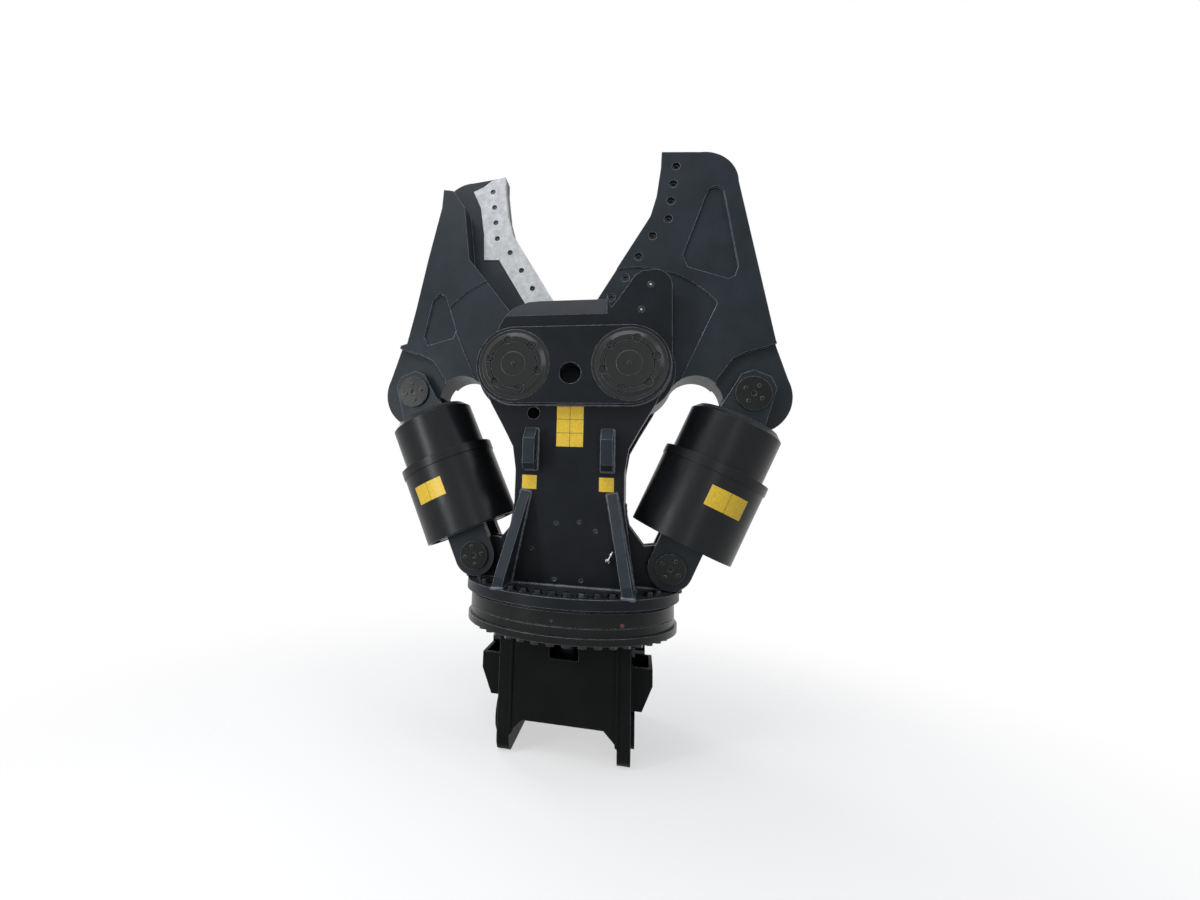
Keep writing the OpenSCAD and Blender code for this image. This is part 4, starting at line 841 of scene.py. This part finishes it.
for side, (low, high, first, wide) in SLEEVE_STICKERS_MM.items():
    sticker("sleeve_sticker_" + side, "barrel_" + side, wide * MM, (high - low) * MM,
            SLEEVE_COLUMNS, SLEEVE_ROWS, on_sleeve(side, low * MM, first * MM))

# %% [markdown]
# The photograph was taken from close by with a wide lens, a little below the middle of
# the shear, tipped up, from the right of its middle. The camera's place and lens come
# from matching the pivots, pins, jaw tips and feet to where they appear in the frame.

# %% Camera
FRAME_WIDTH_PX = 1200
FRAME_HEIGHT_PX = 900
SENSOR_MM = 36.0
camera_place = Vector((266.4, -2493.1, 989.3)) * MM
camera_yaw = math.radians(13.59)
camera_pitch = math.radians(8.47)
camera_roll = math.radians(2.47)
focal_px = 580.4
axis_px = (500, 400)

def add_camera():
    """The photograph's camera; its shift puts the lens's axis where it met the frame."""
    data = bpy.data.cameras.new("camera")
    data.sensor_width = SENSOR_MM
    data.lens = focal_px / FRAME_WIDTH_PX * SENSOR_MM
    data.shift_x = (FRAME_WIDTH_PX / 2 - axis_px[0]) / FRAME_WIDTH_PX
    data.shift_y = (axis_px[1] - FRAME_HEIGHT_PX / 2) / FRAME_WIDTH_PX
    camera = bpy.data.objects.new("camera", data)
    turn = Matrix.Rotation(camera_yaw, 4, "Z") @ Matrix.Rotation(math.pi / 2 + camera_pitch, 4, "X")
    camera.matrix_world = Matrix.Translation(camera_place) @ turn @ Matrix.Rotation(camera_roll, 4, "Z")
    bpy.context.scene.collection.objects.link(camera)
    bpy.context.scene.camera = camera
    return camera

camera = add_camera()
print("lens", round(camera.data.lens, 2), "mm")

# %% [markdown]
# A product picture needs soft light and an empty white ground. The floor is a pale
# sheet that fades out in a circle, so that it has no edge and no horizon, and it keeps
# the soft shadow under the feet.

# %% Floor
FLOOR_SIZE = 12.0
FADE_START = 0.5
FADE_END = 2.6
FLOOR_COVER = 0.42
FLOOR_GAP = 0.5 * MM
foot_z = cad_box[0][2]

def add_floor():
    """A pale floor that keeps the shadow and fades out towards its rim."""
    bpy.ops.mesh.primitive_plane_add(size=FLOOR_SIZE, location=(0, 0, foot_z - FLOOR_GAP))
    floor = bpy.context.object
    floor.name = "floor"
    material, tree, shader = new_material("pale_floor")
    shader.inputs["Base Color"].default_value = linear("#fbfbfb")
    shader.inputs["Roughness"].default_value = 0.9
    shader.inputs["Specular IOR Level"].default_value = 0.1
    place = add(tree, "ShaderNodeTexCoord").outputs["Object"]
    distance = add(tree, "ShaderNodeVectorMath", {"operation": "LENGTH"}, i0=place)
    solid = add(tree, "ShaderNodeMapRange", {"interpolation_type": "SMOOTHSTEP"},
                Value=distance.outputs["Value"], From_Min=FADE_START, From_Max=FADE_END,
                To_Min=FLOOR_COVER, To_Max=0.0)
    tree.links.new(solid.outputs["Result"], shader.inputs["Alpha"])
    floor.data.materials.append(material)

add_floor()

# %% [markdown]
# To the camera, to reflections and through glass the world is white; as a light it is
# only a gentle fill. A Light Path node tells the two apart, ray by ray.

# %% World
FILL_COLOUR = "#e8eef8"
FILL_STRENGTH = 0.18

def add_world():
    """A white backdrop for the camera and for reflections, and a gentle fill on the object."""
    world = bpy.data.worlds.new("studio")
    bpy.context.scene.world = world
    world.use_nodes = True
    tree = world.node_tree
    tree.nodes.clear()
    fill = add(tree, "ShaderNodeBackground", Color=linear(FILL_COLOUR), Strength=FILL_STRENGTH)
    white = add(tree, "ShaderNodeBackground", Color=(1, 1, 1, 1), Strength=1.0)
    path = add(tree, "ShaderNodeLightPath")
    seen = add(tree, "ShaderNodeMath", {"operation": "MAXIMUM"}, i0=path.outputs["Is Camera Ray"],
               i1=path.outputs["Is Transmission Ray"])
    seen = add(tree, "ShaderNodeMath", {"operation": "MAXIMUM"}, i0=seen.outputs[0],
               i1=path.outputs["Is Glossy Ray"])
    both = add(tree, "ShaderNodeMixShader", i0=seen.outputs[0], i1=fill.outputs[0], i2=white.outputs[0])
    add(tree, "ShaderNodeOutputWorld", Surface=both.outputs[0])

add_world()

# %% [markdown]
# Black enamel is shaped by what it reflects, which is why the lamps are large panels.
# The key, side and top panels model the plates, the rim panel draws the edges from
# behind, and two narrow strips lay bright bands on the guard sleeves.

# %% Lamps
HEAD_SHARE = 1.2
KNEE_SHARE = 0.7
head = Vector((0, 0, pivot_z * HEAD_SHARE))
knee = Vector((0, 0, pivot_z * KNEE_SHARE))
# Name, place in metres, what it faces, width and height in metres, power in watts, colour
PANELS = [
    ("key_panel", (-1.2, -2.6, 4.4), head, (2.6, 1.8), 74, "#f6f9ff"),
    ("side_panel", (3.4, -1.8, 3.2), head, (1.4, 2.6), 30, "#eef4ff"),
    ("top_panel", (0.0, 0.2, 5.0), head, (3.4, 3.4), 75, "#eef2ff"),
    ("rim_panel", (-3.0, 2.6, 3.0), head, (1.5, 3.0), 40, "#ffffff"),
    ("left_strip", (-1.6, -2.05, 1.15), knee, (0.34, 1.5), 24, "#ffffff"),
    ("right_strip", (0.75, -2.65, 1.15), knee, (0.26, 1.5), 5, "#ffffff"),
]

def add_panel(name, place, target, size, power, colour):
    """A lamp panel at place that faces target."""
    data = bpy.data.lights.new(name, "AREA")
    data.shape = "RECTANGLE"
    data.size, data.size_y = size
    data.energy = power
    data.color = linear(colour)[:3]
    lamp = bpy.data.objects.new(name, data)
    lamp.location = place
    lamp.rotation_euler = (Vector(target) - Vector(place)).to_track_quat("-Z", "Y").to_euler()
    bpy.context.scene.collection.objects.link(lamp)

for panel in PANELS:
    add_panel(*panel)
bpy.context.scene.view_settings.view_transform = "Standard"
print("lamps:", len(bpy.data.lights))
